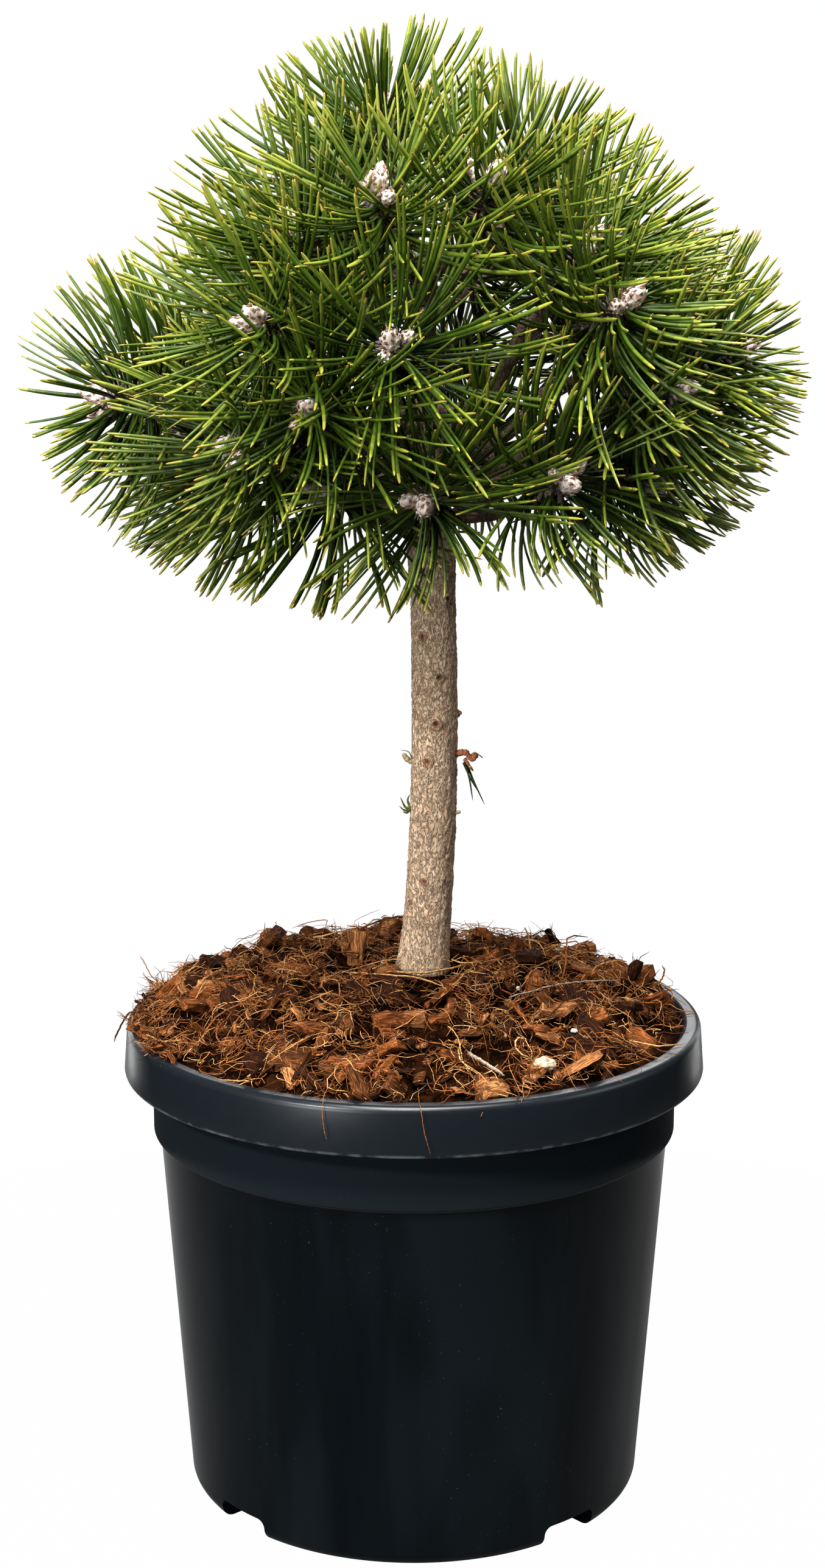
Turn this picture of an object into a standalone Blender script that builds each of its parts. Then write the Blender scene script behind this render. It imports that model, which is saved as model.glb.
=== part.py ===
"""A dwarf Austrian pine grafted on a short stem, in a round nursery pot filled with coir.

Metres, +Z up. The origin is on the pot's axis, in the plane of its flat underside, and the front
is -Y. A heading is an angle in degrees from the front towards +X, and a lift is an angle above level.
"""

import math
import random

import bmesh
import bpy
import numpy as np
from mathutils import Matrix, Vector, noise

# General
GAP = 0.0003
MERGE = 0.00001
TURN_STEPS = 36

# Pot, a turned shell
POT_HEIGHT = 0.200
WALL = 0.0020
RIM_RADIUS = 0.1195
RIM_FLARE = 0.0012
RIM_FOOT = 0.180
RIM_ROUND = 0.0030
LIP_RADIUS = 0.1105
LIP_ROUND = 0.0025
LIP_THICKNESS = 0.0028
SHOULDER_RADIUS = 0.1128
BAND_RADIUS = 0.1080
BAND_FOOT = 0.154
BAND_STEP = 0.0012
BODY_TOP_RADIUS = 0.1052
BODY_FOOT_RADIUS = 0.0944
FOOT_ROUND = 0.0060
FLOOR = 0.0022

# Drain channels across the pot's foot
CHANNEL_HEADINGS = (42.0, 132.0, 222.0, 312.0)
CHANNEL_WIDTH = 0.027
CHANNEL_HEIGHT = 0.0092
CHANNEL_INNER_END = 0.050
CHANNEL_OUTER_END = 0.120
CHANNEL_ROUND = 0.0035
DRAIN_RADIUS = 0.0045
DRAIN_FROM_AXIS = 0.068

# Coir in the pot, heaped towards the stem
SOIL_EDGE = 0.1978
SOIL_TOP = 0.2155
SOIL_FULLNESS = 4.5
SOIL_RINGS = 5
SOIL_LUMP = 0.0022
SOIL_LUMP_SIZE = 0.022
SEAT_RADIUS = 0.0150

# Trunk, from its flat cut on the coir to its tip inside the crown
TRUNK_FOOT = Vector((0.0036, 0.0150, 0.2160))
TRUNK_MIDDLE = Vector((0.0083, 0.0080, 0.3050))
TRUNK_HEAD = Vector((0.0069, 0.0035, 0.3950))
TRUNK_TIP = Vector((0.0040, 0.0010, 0.4700))
TRUNK_FOOT_RADIUS = 0.0098
TRUNK_FLARE = 0.0018
TRUNK_FLARE_HEIGHT = 0.010
TRUNK_HEAD_RADIUS = 0.0091
GRAFT_SWELL = 0.0010
GRAFT_LENGTH = 0.012
TRUNK_TIP_RADIUS = 0.0046
TRUNK_POINTS = 17

# Crown: the buds lie on this ellipsoid, and the needles stand out beyond them
CROWN_CENTRE = Vector((0.004, 0.000, 0.472))
CROWN_REACH = Vector((0.118, 0.102, 0.090))
REACH_SPREAD = 0.03
# The needles' tips stay inside a dome above its widest level and an ellipsoid below it
DOME_LEVEL = 0.462
DOME_TOP = 0.6065
DOME_FOOT = 0.3500
DOME_POWERS = (1.5, 1.7)
DOME_REACH = (0.1650, 0.1465)
# Masses of foliage, each with the heading, lift and reach of its shoots
MASSES = {
    "top": ((-77, 82, 1.03), (120, 62, 1.00), (-135, 62, 1.02)),
    "front_high": ((-11, 41, 1.04), (20, 49, 1.0)),
    "front_left_high": ((-38, 39, 0.90), (-32, 11, 1.0)),
    "front_right_high": ((42, 32, 0.92), (38, 14, 1.04)),
    "right_high": ((75, 38, 0.80), (115, 30, 0.84)),
    "left_high": ((-80, 36, 0.56), (-118, 30, 0.58)),
    "back_high": ((160, 30, 0.82), (-158, 28, 0.82)),
    "front_middle": ((-21, -9, 1.0), (-6, 6, 1.0)),
    "right": ((76, 1, 1.09), (53, -7, 1.0)),
    "back_right": ((112, 2, 1.0), (140, 5, 1.0)),
    "back": ((172, -2, 1.0), (-150, 2, 1.0)),
    "left": ((-75, -9, 1.10), (-112, -4, 0.98)),
    "front_left_low": ((-39, -19, 1.02), (-31, -42, 0.84)),
    "front_low": ((0, -33, 1.04), (28, -27, 1.06)),
    "right_low": ((60, -32, 1.0), (95, -24, 1.0)),
    "back_right_low": ((128, -26, 1.0), (165, -32, 0.92)),
    "back_left_low": ((-160, -32, 0.90), (-125, -26, 0.94)),
    "left_low": ((-72, -32, 0.88), (-97, -24, 0.94)),
}
TOP_MASS = "top"

# Boughs and shoots
BOUGH_LEVEL = 0.425
BOUGH_RISE = 0.00068
BOUGH_RADIUS = 0.0028
BOUGH_TIP_RADIUS = 0.0023
BOUGH_SHARE = 0.44
BOUGH_POINTS = 5
FORK_SHARE = 0.56
STEM_POINTS = 4
SHOOT_RADIUS = 0.0021
SHOOT_RISE = 0.35
SHOOT_POINTS = 6
BUD_RADIUS = 0.0036
BUD_LENGTH = 0.014

# Needles, fewer and thicker than life, behind each bud. They stand out squarely and bend forwards
NEEDLES_PER_SHOOT = 13
NEEDLE_LENGTH = 0.066
NEEDLE_LENGTH_SPREAD = 0.06
NEEDLE_RADIUS = 0.0018
NEEDLE_ROOT_RADIUS = 0.0012
NEEDLE_SHOULDER = 0.55
NEEDLE_BEND = 0.36
NEEDLE_ZONE = (0.0300, 0.0150)
LEAN_FIRST = 92.0
LEAN_LAST = 32.0
LEAN_RISE = 20.0
LEAN_SPREAD = 6.0
LEAN_STEP = 3.5
GOLDEN_TURN = math.radians(137.5)
TRIES = 14
SHORTENING = 0.985
SPACE_MARGIN = 2 * (NEEDLE_RADIUS + GAP)
SEED = 22


def clear_scene():
    for old in list(bpy.data.objects):
        bpy.data.objects.remove(old)


def new_collection(name, parent):
    collection = bpy.data.collections.new(name)
    parent.children.link(collection)
    return collection


def new_object(name, mesh, collection):
    made = bpy.data.objects.new(name, mesh)
    collection.objects.link(made)
    return made


def new_material(name, colour, roughness):
    material = bpy.data.materials.new(name)
    material.use_nodes = True
    shader = material.node_tree.nodes["Principled BSDF"]
    shader.inputs["Base Color"].default_value = (*colour, 1.0)
    shader.inputs["Roughness"].default_value = roughness
    shader.inputs["Metallic"].default_value = 0.0
    return material


def as_cutter(helper):
    helper.hide_render = True
    helper.display_type = "WIRE"
    return helper


def cut(target, collection, name):
    boolean = target.modifiers.new(name, "BOOLEAN")
    boolean.operation = "DIFFERENCE"
    boolean.operand_type = "COLLECTION"
    boolean.collection = collection


def flat_direction(heading):
    turn = math.radians(heading)
    return Vector((math.sin(turn), -math.cos(turn), 0.0))


def arc(centre, size, first, last, steps):
    """Points of an arc in a turned profile, as (radius, height), by angles in degrees."""
    points = []
    for step in range(steps + 1):
        angle = math.radians(first + (last - first) * step / steps)
        points.append((centre[0] + size * math.cos(angle), centre[1] + size * math.sin(angle)))
    return points


def turned(name, profile, collection):
    """A solid turned about Z from (radius, height) points that run down its outer side."""
    shape = bmesh.new()
    corners = [shape.verts.new((radius, 0.0, height)) for radius, height in profile]
    for upper, lower in zip(corners, corners[1:]):
        shape.edges.new((upper, lower))
    mesh = bpy.data.meshes.new(name)
    shape.to_mesh(mesh)
    shape.free()
    made = new_object(name, mesh, collection)
    screw = made.modifiers.new("Turn", "SCREW")
    screw.steps = TURN_STEPS
    screw.render_steps = TURN_STEPS
    screw.use_merge_vertices = True
    screw.merge_threshold = MERGE
    return made


def pot_outside():
    """The pot's outer side from the middle of its mouth, down over the rim, to the middle of its foot."""
    rim_top = RIM_RADIUS - RIM_FLARE
    rim_round = arc((rim_top - RIM_ROUND, POT_HEIGHT - RIM_ROUND), RIM_ROUND, 90, 0, 3)
    foot_round = arc((BODY_FOOT_RADIUS - FOOT_ROUND, FOOT_ROUND), FOOT_ROUND, 0, -90, 2)
    return [
        (0.0, POT_HEIGHT),
        *rim_round,
        (RIM_RADIUS, RIM_FOOT),
        (RIM_RADIUS - WALL, RIM_FOOT),
        (rim_top - WALL, POT_HEIGHT - LIP_THICKNESS),
        (SHOULDER_RADIUS, POT_HEIGHT - LIP_THICKNESS),
        (BAND_RADIUS, RIM_FOOT + WALL),
        (BAND_RADIUS, BAND_FOOT + BAND_STEP),
        (BODY_TOP_RADIUS, BAND_FOOT - BAND_STEP),
        *foot_round,
        (0.0, 0.0),
    ]


def pot_inside(inset, mouth):
    """The inner side of the pot's wall, from its lip down to its floor, moved in by an inset."""
    return [
        *mouth,
        (BAND_RADIUS - WALL - inset, RIM_FOOT + WALL),
        (BAND_RADIUS - WALL - inset, BAND_FOOT + BAND_STEP),
        (BODY_TOP_RADIUS - WALL - inset, BAND_FOOT - BAND_STEP),
        (BODY_FOOT_RADIUS - WALL - inset, FOOT_ROUND + FLOOR),
        (BODY_FOOT_RADIUS - FOOT_ROUND, FLOOR + inset),
        (0.0, FLOOR + inset),
    ]


def channel_blocks(name, grow, cutters):
    """A round-topped block along each drain channel, larger all round by grow."""
    collection = new_collection(name, cutters)
    start = CHANNEL_INNER_END - grow
    sides = Vector((CHANNEL_OUTER_END - start, CHANNEL_WIDTH + 2 * grow, 2 * (CHANNEL_HEIGHT + grow)))
    for number, heading in enumerate(CHANNEL_HEADINGS):
        shape = bmesh.new()
        bmesh.ops.create_cube(shape, size=1.0)
        bmesh.ops.scale(shape, vec=sides, verts=shape.verts)
        bmesh.ops.translate(shape, vec=(start + sides.x / 2, 0.0, 0.0), verts=shape.verts)
        roof = max(shape.faces, key=lambda face: face.calc_center_median().z)
        rounded = [edge for edge in roof.edges if min(vert.co.x for vert in edge.verts) < start + MERGE]
        bmesh.ops.bevel(
            shape, geom=rounded, offset=CHANNEL_ROUND, segments=3, profile=0.5, affect="EDGES", material=-1
        )
        turn = Matrix.Rotation(math.radians(heading - 90.0), 4, "Z")
        bmesh.ops.transform(shape, matrix=turn, verts=shape.verts)
        mesh = bpy.data.meshes.new(f"{name}_{number}")
        shape.to_mesh(mesh)
        shape.free()
        as_cutter(new_object(mesh.name, mesh, collection))
    return collection


def upright_cylinder(name, radius, centre, low, high, sides, collection):
    shape = bmesh.new()
    bmesh.ops.create_cone(
        shape, cap_ends=True, segments=sides, radius1=radius, radius2=radius, depth=high - low
    )
    bmesh.ops.translate(shape, vec=(centre.x, centre.y, (low + high) / 2), verts=shape.verts)
    mesh = bpy.data.meshes.new(name)
    shape.to_mesh(mesh)
    shape.free()
    return as_cutter(new_object(name, mesh, collection))


def make_pot(parts, cutters):
    pot = turned("pot", pot_outside(), parts)
    lip = arc((LIP_RADIUS + LIP_ROUND, POT_HEIGHT - LIP_ROUND), LIP_ROUND, 100, 180, 2)
    mouth = [(0.0, POT_HEIGHT + WALL), (lip[0][0], POT_HEIGHT + WALL), *lip]
    room = new_collection("pot_room", cutters)
    cavity = as_cutter(turned("pot_cavity", pot_inside(0.0, mouth), room))
    cut(cavity, channel_blocks("pot_ridge", WALL, cutters), "Ridges")
    cut(pot, room, "Inside")
    cut(pot, channel_blocks("pot_channel", 0.0, cutters), "Channels")
    drains = new_collection("pot_drain", cutters)
    for number, heading in enumerate(CHANNEL_HEADINGS):
        centre = flat_direction(heading) * DRAIN_FROM_AXIS
        low = CHANNEL_HEIGHT / 2
        high = CHANNEL_HEIGHT + 2 * WALL
        upright_cylinder(f"pot_drain_{number}", DRAIN_RADIUS, centre, low, high, 10, drains)
    cut(pot, drains, "Drains")
    return pot


def soil_height(point):
    """Height of the coir's surface: a low heap, fullest by the stem, with lumps that die out at the rim."""
    edge = LIP_RADIUS - GAP
    out = min(1.0, math.hypot(point.x, point.y) / edge)
    heap = (1.0 - out ** SOIL_FULLNESS) * (SOIL_TOP - SOIL_EDGE)
    lumps = noise.noise(Vector((point.x, point.y, 0.5)) / SOIL_LUMP_SIZE) * SOIL_LUMP
    return SOIL_EDGE + heap + lumps * min(1.0, 4.0 * (1.0 - out))


def make_soil(parts, cutters):
    edge = LIP_RADIUS - GAP
    heap = [(edge * ring / SOIL_RINGS, SOIL_EDGE) for ring in range(SOIL_RINGS)]
    outline = pot_inside(GAP, [*heap, (edge, SOIL_EDGE)])
    shape = bmesh.new()
    corners = [shape.verts.new((radius, 0.0, height)) for radius, height in outline]
    seam = [shape.edges.new(pair) for pair in zip(corners, corners[1:])]
    bmesh.ops.spin(
        shape, geom=[*corners, *seam], cent=(0, 0, 0), axis=(0, 0, 1), angle=math.tau,
        steps=TURN_STEPS, use_merge=True,
    )
    bmesh.ops.remove_doubles(shape, verts=shape.verts, dist=MERGE)
    for vert in shape.verts:
        if vert.co.z > SOIL_EDGE - MERGE:
            vert.co.z = soil_height(vert.co)
    bmesh.ops.recalc_face_normals(shape, faces=shape.faces)
    mesh = bpy.data.meshes.new("soil")
    shape.to_mesh(mesh)
    shape.free()
    soil = new_object("soil", mesh, parts)
    cut(soil, channel_blocks("soil_ridge", WALL + GAP, cutters), "Ridges")
    seat = new_collection("soil_seat", cutters)
    low = TRUNK_FOOT.z - GAP
    upright_cylinder("trunk_seat", SEAT_RADIUS, TRUNK_FOOT, low, POT_HEIGHT * 2, 16, seat)
    cut(soil, seat, "Seat")
    return soil


def trunk_centre(height):
    """The trunk's axis at a height, on one smooth curve through its foot, middle, head and tip."""
    knots = (TRUNK_FOOT, TRUNK_MIDDLE, TRUNK_HEAD, TRUNK_TIP)
    centre = Vector((0.0, 0.0, height))
    for knot in knots:
        weight = 1.0
        for other in knots:
            if other is not knot:
                weight *= (height - other.z) / (knot.z - other.z)
        centre.x += weight * knot.x
        centre.y += weight * knot.y
    return centre


def trunk_radius(height):
    """The trunk's radius at a height: root flare, slow taper, swelling at the graft, then the leader."""
    flare = TRUNK_FLARE * math.exp(-(height - TRUNK_FOOT.z) / TRUNK_FLARE_HEIGHT)
    swell = GRAFT_SWELL * math.exp(-(((height - TRUNK_HEAD.z) / GRAFT_LENGTH) ** 2))
    if height < TRUNK_HEAD.z:
        share = (height - TRUNK_FOOT.z) / (TRUNK_HEAD.z - TRUNK_FOOT.z)
        plain = TRUNK_FOOT_RADIUS + (TRUNK_HEAD_RADIUS - TRUNK_FOOT_RADIUS) * share
    else:
        share = (height - TRUNK_HEAD.z) / (TRUNK_TIP.z - TRUNK_HEAD.z)
        plain = TRUNK_HEAD_RADIUS + (TRUNK_TIP_RADIUS - TRUNK_HEAD_RADIUS) * share
    return plain + flare + swell


def limb_curve(name, points, radii, sides_level, collection):
    """A tapering limb with flat ends: a poly curve whose bevel follows the radius of each point."""
    curve = bpy.data.curves.new(name, "CURVE")
    curve.dimensions = "3D"
    curve.bevel_depth = 1.0
    curve.bevel_resolution = sides_level
    curve.use_fill_caps = True
    spline = curve.splines.new("POLY")
    spline.points.add(len(points) - 1)
    for place, point, radius in zip(spline.points, points, radii):
        place.co = (*point, 1.0)
        place.radius = radius
    return new_object(name, curve, collection)


def curve_to_mesh(limb, collection):
    """The limb as a closed mesh object, with the curve removed."""
    graph = bpy.context.evaluated_depsgraph_get()
    mesh = bpy.data.meshes.new_from_object(limb.evaluated_get(graph))
    shape = bmesh.new()
    shape.from_mesh(mesh)
    bmesh.ops.remove_doubles(shape, verts=shape.verts, dist=MERGE)
    bmesh.ops.recalc_face_normals(shape, faces=shape.faces)
    shape.to_mesh(mesh)
    shape.free()
    made = new_object(limb.name + "_solid", mesh, collection)
    made.matrix_world = limb.matrix_world
    bpy.data.objects.remove(limb)
    return made


def make_trunk(parts):
    span = TRUNK_TIP.z - TRUNK_FOOT.z
    heights = [TRUNK_FOOT.z + span * (step / (TRUNK_POINTS - 1)) ** 1.15 for step in range(TRUNK_POINTS)]
    points = [trunk_centre(height) for height in heights]
    # The first stretch stands upright, so that the foot's cut is level
    points[1].x = points[0].x
    points[1].y = points[0].y
    radii = [trunk_radius(height) for height in heights]
    return limb_curve("trunk", points, radii, 4, parts)


def bezier(points, share):
    """The point at a share of the way along the smooth curve that these control points give."""
    if len(points) == 1:
        return points[0]
    nearer = [first.lerp(second, share) for first, second in zip(points, points[1:])]
    return bezier(nearer, share)


def sampled(points, count):
    return [bezier(points, step / (count - 1)) for step in range(count)]


def bud_place(heading, lift, reach):
    """Where a shoot's bud lies, by its heading and lift from the crown's centre."""
    level = math.cos(math.radians(lift))
    direction = flat_direction(heading) * level + Vector((0.0, 0.0, math.sin(math.radians(lift))))
    return CROWN_CENTRE + Vector([reach * size * part for size, part in zip(CROWN_REACH, direction)])


class Mass:
    """One mass of foliage: the bough that carries it, its stem and its shoots, as smooth routes."""

    def __init__(self, name, bearings, rng):
        self.name = name
        self.buds = []
        for heading, lift, reach in bearings:
            reach *= 1.0 + rng.uniform(-REACH_SPREAD, REACH_SPREAD)
            self.buds.append(bud_place(heading, lift, reach))
        middle = sum(self.buds, Vector()) / len(self.buds)
        if name == TOP_MASS:
            self.bough = []
            start = TRUNK_TIP.copy()
            aim = (TRUNK_TIP - trunk_centre(TRUNK_TIP.z - BUD_LENGTH)).normalized()
        else:
            start, aim = self.grow_bough(middle, bearings)
        fork = start.lerp(middle, (FORK_SHARE - BOUGH_SHARE) / (1.0 - BOUGH_SHARE))
        foot = start + aim * GAP
        square = foot + aim * BOUGH_TIP_RADIUS * 2
        self.stem = [foot, *sampled([square, square.lerp(fork, 0.5), fork], STEM_POINTS - 1)]
        self.shoots = [self.grow_shoot(fork, bud) for bud in self.buds]

    def grow_bough(self, middle, bearings):
        """A bough that leaves the trunk squarely and bends towards the middle of its shoots."""
        lift = sum(pair[1] for pair in bearings) / len(bearings)
        level = trunk_centre(BOUGH_LEVEL + BOUGH_RISE * lift)
        away = (middle - level) * Vector((1.0, 1.0, 0.0))
        away.normalize()
        widest = max(trunk_radius(level.z + side * BOUGH_RADIUS) for side in (-1, 0, 1))
        root = level + away * (widest + GAP)
        end = root.lerp(middle, BOUGH_SHARE)
        square = root + away * BOUGH_RADIUS * 1.5
        knee = root + away * (end - root).length * 0.5
        self.bough = [root, *sampled([square, knee, end], BOUGH_POINTS - 1)]
        return self.bough[-1], (self.bough[-1] - self.bough[-2]).normalized()

    def grow_shoot(self, fork, bud):
        """A shoot that leaves the fork towards its bud and turns up a little at its end."""
        outward = (bud - CROWN_CENTRE).normalized()
        rise = (outward + Vector((0.0, 0.0, SHOOT_RISE))).normalized()
        elbow = bud - rise * (bud - fork).length * 0.55
        return [fork, elbow, bud]

    def wood(self):
        """Points all along the mass's own wood, which other masses keep away from."""
        points = [Vector(point) for point in self.bough]
        points += self.stem
        for shoot in self.shoots:
            points += sampled(shoot, 4 * SHOOT_POINTS)
        return np.array(points)


def outside_share(point):
    """How far out a point lies, where 1 is on the dome that holds the needles' tips."""
    level = math.hypot(point.x / DOME_REACH[0], point.y / DOME_REACH[1])
    if point.z < DOME_LEVEL:
        return math.hypot(level, (DOME_LEVEL - point.z) / (DOME_LEVEL - DOME_FOOT))
    above = (point.z - DOME_LEVEL) / (DOME_TOP - DOME_LEVEL)
    return level ** DOME_POWERS[0] + above ** DOME_POWERS[1]


def least_distance(points, others):
    return np.linalg.norm(points[:, None, :] - others[None, :, :], axis=2).min(axis=1)


class Space:
    """Tells whether a needle keeps to its own mass's space and clear of the trunk and boughs."""

    def __init__(self, masses):
        self.wood = {mass.name: mass.wood() for mass in masses}
        limbs = []
        for step in range(4 * TRUNK_POINTS):
            share = step / (4 * TRUNK_POINTS - 1)
            height = TRUNK_FOOT.z + (TRUNK_TIP.z - TRUNK_FOOT.z) * share
            limbs.append((*trunk_centre(height), trunk_radius(height)))
        for mass in masses:
            for near, far in zip(mass.bough, mass.bough[1:]):
                limbs += [(*near.lerp(far, step / 4), BOUGH_RADIUS) for step in range(5)]
        limbs = np.array(limbs)
        self.limbs = limbs[:, :3]
        self.limb_radii = limbs[:, 3]

    def holds(self, name, needle):
        if outside_share(needle[-1]) > 1.0:
            return False
        points = np.array(needle)
        own = least_distance(points, self.wood[name])
        others = np.concatenate([wood for other, wood in self.wood.items() if other != name])
        if (least_distance(points, others) - own).min() < SPACE_MARGIN:
            return False
        clear = np.linalg.norm(points[:, None, :] - self.limbs[None, :, :], axis=2) - self.limb_radii
        return clear.min() > NEEDLE_RADIUS + 2 * GAP


def needle_route(shoot, along, turn, lean, length):
    """Root, shoulder and tip of a needle that leans away from its shoot and bends up along it."""
    root = bezier(shoot, along)
    ahead = (bezier(shoot, along + 0.02) - bezier(shoot, along - 0.02)).normalized()
    side = ahead.orthogonal().normalized()
    side.rotate(Matrix.Rotation(turn, 3, ahead))
    leaning = math.radians(lean)
    direction = ahead * math.cos(leaning) + side * math.sin(leaning)
    shoulder = root + direction * length * NEEDLE_SHOULDER
    bent = (direction + ahead * NEEDLE_BEND).normalized()
    return root, shoulder, shoulder + bent * length * (1.0 - NEEDLE_SHOULDER)


def needle_mesh(name, route, collection):
    """A needle as a three-sided spike with a shoulder, its root sunk in the shoot."""
    root, shoulder, tip = route
    body = shoulder - root
    shape = bmesh.new()
    bmesh.ops.create_cone(
        shape, cap_ends=True, segments=3, radius1=NEEDLE_ROOT_RADIUS, radius2=NEEDLE_RADIUS,
        depth=body.length,
    )
    far_end = max(shape.faces, key=lambda face: face.calc_center_median().z)
    point = bmesh.ops.poke(shape, faces=[far_end])["verts"][0]
    lay = Matrix.Translation((root + shoulder) / 2) @ body.to_track_quat("Z", "Y").to_matrix().to_4x4()
    bmesh.ops.transform(shape, matrix=lay, verts=shape.verts)
    point.co = tip
    mesh = bpy.data.meshes.new(name)
    shape.to_mesh(mesh)
    shape.free()
    return new_object(name, mesh, collection)


def keep_main_body(mesh):
    """Drops loose scraps and the inner skins of sealed hollows, so that one outer body is left."""
    shape = bmesh.new()
    shape.from_mesh(mesh)
    left = set(shape.faces)
    bodies = []
    while left:
        body = {left.pop()}
        edge_of_search = list(body)
        while edge_of_search:
            face = edge_of_search.pop()
            for edge in face.edges:
                for neighbour in edge.link_faces:
                    if neighbour in left:
                        left.remove(neighbour)
                        body.add(neighbour)
                        edge_of_search.append(neighbour)
        bodies.append(body)
    bodies.sort(key=len)
    scrap = [face for body in bodies[:-1] for face in body]
    bmesh.ops.delete(shape, geom=scrap, context="FACES")
    bmesh.ops.triangulate(shape, faces=shape.faces)
    shape.to_mesh(mesh)
    shape.free()


def shoot_length(shoot):
    return (shoot[2] - shoot[1]).length + (shoot[1] - shoot[0]).length


def shoot_points(shoot):
    """A shoot's centre line and radii, with the bud as a spindle at its tip."""
    bud_share = BUD_LENGTH / shoot_length(shoot)
    shares = [(1.0 - bud_share) * step / (SHOOT_POINTS - 2) for step in range(SHOOT_POINTS - 1)]
    radii = [SHOOT_RADIUS] * len(shares)
    shares += [1.0 - 0.55 * bud_share, 1.0]
    radii += [BUD_RADIUS, SHOOT_RADIUS * 0.3]
    return [bezier(shoot, share) for share in shares], radii


def fuse(name, stem, pieces, parts):
    """One union of the stem with everything in the collection, whose objects are then removed."""
    union = stem.modifiers.new("Fuse", "BOOLEAN")
    union.operation = "UNION"
    union.operand_type = "COLLECTION"
    union.collection = pieces
    union.solver = "MANIFOLD"
    graph = bpy.context.evaluated_depsgraph_get()
    mesh = bpy.data.meshes.new_from_object(stem.evaluated_get(graph))
    mesh.name = name
    keep_main_body(mesh)
    for piece in list(pieces.objects):
        bpy.data.objects.remove(piece)
    bpy.data.objects.remove(stem)
    bpy.data.collections.remove(pieces)
    return new_object(name, mesh, parts)


def make_foliage(mass, space, parts, cutters):
    name = "foliage_" + mass.name
    rng = random.Random(name)
    pieces = new_collection(name + "_pieces", cutters)
    stem_radii = [BOUGH_TIP_RADIUS] * STEM_POINTS
    stem_curve = limb_curve(name + "_stem", mass.stem, stem_radii, 1, cutters)
    stem = curve_to_mesh(stem_curve, cutters)
    for number, shoot in enumerate(mass.shoots):
        points, radii = shoot_points(shoot)
        core = limb_curve(f"{name}_shoot_{number}", points, radii, 0, pieces)
        curve_to_mesh(core, pieces)
        turn = rng.uniform(0.0, math.tau)
        for count in range(NEEDLES_PER_SHOOT):
            share = (count + 0.5) / NEEDLES_PER_SHOOT
            behind = NEEDLE_ZONE[0] + (NEEDLE_ZONE[1] - NEEDLE_ZONE[0]) * share
            along = 1.0 - behind / shoot_length(shoot)
            last = LEAN_LAST - LEAN_RISE * max(0.0, (shoot[2] - shoot[1]).normalized().z)
            for attempt in range(TRIES):
                lean = LEAN_FIRST + (last - LEAN_FIRST) * share - LEAN_STEP * attempt
                lean += rng.uniform(-LEAN_SPREAD, LEAN_SPREAD)
                length = NEEDLE_LENGTH * (1.0 + rng.uniform(-NEEDLE_LENGTH_SPREAD, NEEDLE_LENGTH_SPREAD))
                length *= SHORTENING ** attempt
                tried_turn = turn + GOLDEN_TURN * count + attempt * rng.uniform(-0.12, 0.12)
                route = needle_route(shoot, along, tried_turn, lean, length)
                if space.holds(mass.name, [bezier(route, step / 8) for step in range(1, 9)]):
                    needle_mesh(f"{name}_needle_{number}_{count}", route, pieces)
                    break
    return fuse(name, stem, pieces, parts)


def main():
    clear_scene()
    parts = new_collection("potted_austrian_pine", bpy.context.scene.collection)
    cutters = new_collection("cutters", bpy.context.scene.collection)
    plastic = new_material("pot_plastic", (0.018, 0.022, 0.026), 0.42)
    coir = new_material("coir", (0.22, 0.085, 0.030), 0.95)
    bark = new_material("bark", (0.105, 0.075, 0.055), 0.85)
    needles = new_material("needles", (0.060, 0.150, 0.030), 0.50)
    rng = random.Random(SEED)
    masses = [Mass(name, bearings, rng) for name, bearings in MASSES.items()]
    space = Space(masses)
    for mass in masses:
        if mass.bough:
            taper = [
                BOUGH_RADIUS + (BOUGH_TIP_RADIUS - BOUGH_RADIUS) * step / (BOUGH_POINTS - 1)
                for step in range(BOUGH_POINTS)
            ]
            bough = limb_curve("bough_" + mass.name, mass.bough, taper, 1, parts)
            bough.data.materials.append(bark)
        make_foliage(mass, space, parts, cutters).data.materials.append(needles)
    make_trunk(parts).data.materials.append(bark)
    make_soil(parts, cutters).data.materials.append(coir)
    make_pot(parts, cutters).data.materials.append(plastic)


main()
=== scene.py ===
"""Looks of the potted dwarf pine: moulded nursery pot, coir, bark, twigs, buds and needles.

Metres, +Z up, the front is -Y. A heading is an angle in degrees from the front towards +X, and a
lift is an angle above level.
"""

import math
import random

import bmesh
import bpy
import numpy as np
from mathutils import Matrix, Vector, noise


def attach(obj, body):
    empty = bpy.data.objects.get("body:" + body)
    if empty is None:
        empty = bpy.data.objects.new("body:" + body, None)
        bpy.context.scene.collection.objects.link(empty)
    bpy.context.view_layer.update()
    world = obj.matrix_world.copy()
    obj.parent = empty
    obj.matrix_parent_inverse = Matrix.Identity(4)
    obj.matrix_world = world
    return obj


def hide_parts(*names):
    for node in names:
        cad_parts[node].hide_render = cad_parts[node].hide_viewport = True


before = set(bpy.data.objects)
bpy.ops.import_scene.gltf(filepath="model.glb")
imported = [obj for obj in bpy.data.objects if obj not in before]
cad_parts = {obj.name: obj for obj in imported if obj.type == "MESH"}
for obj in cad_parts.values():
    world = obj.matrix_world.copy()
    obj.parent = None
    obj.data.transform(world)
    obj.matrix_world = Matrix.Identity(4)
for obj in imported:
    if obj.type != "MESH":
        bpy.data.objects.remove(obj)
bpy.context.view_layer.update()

# The view of the photograph, 1355 x 2576 pixels
VIEW_PLACE = (-0.0006, -1.0887, 0.5346)
VIEW_DOWN = 12.29
VIEW_LENS = 62.93

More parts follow.
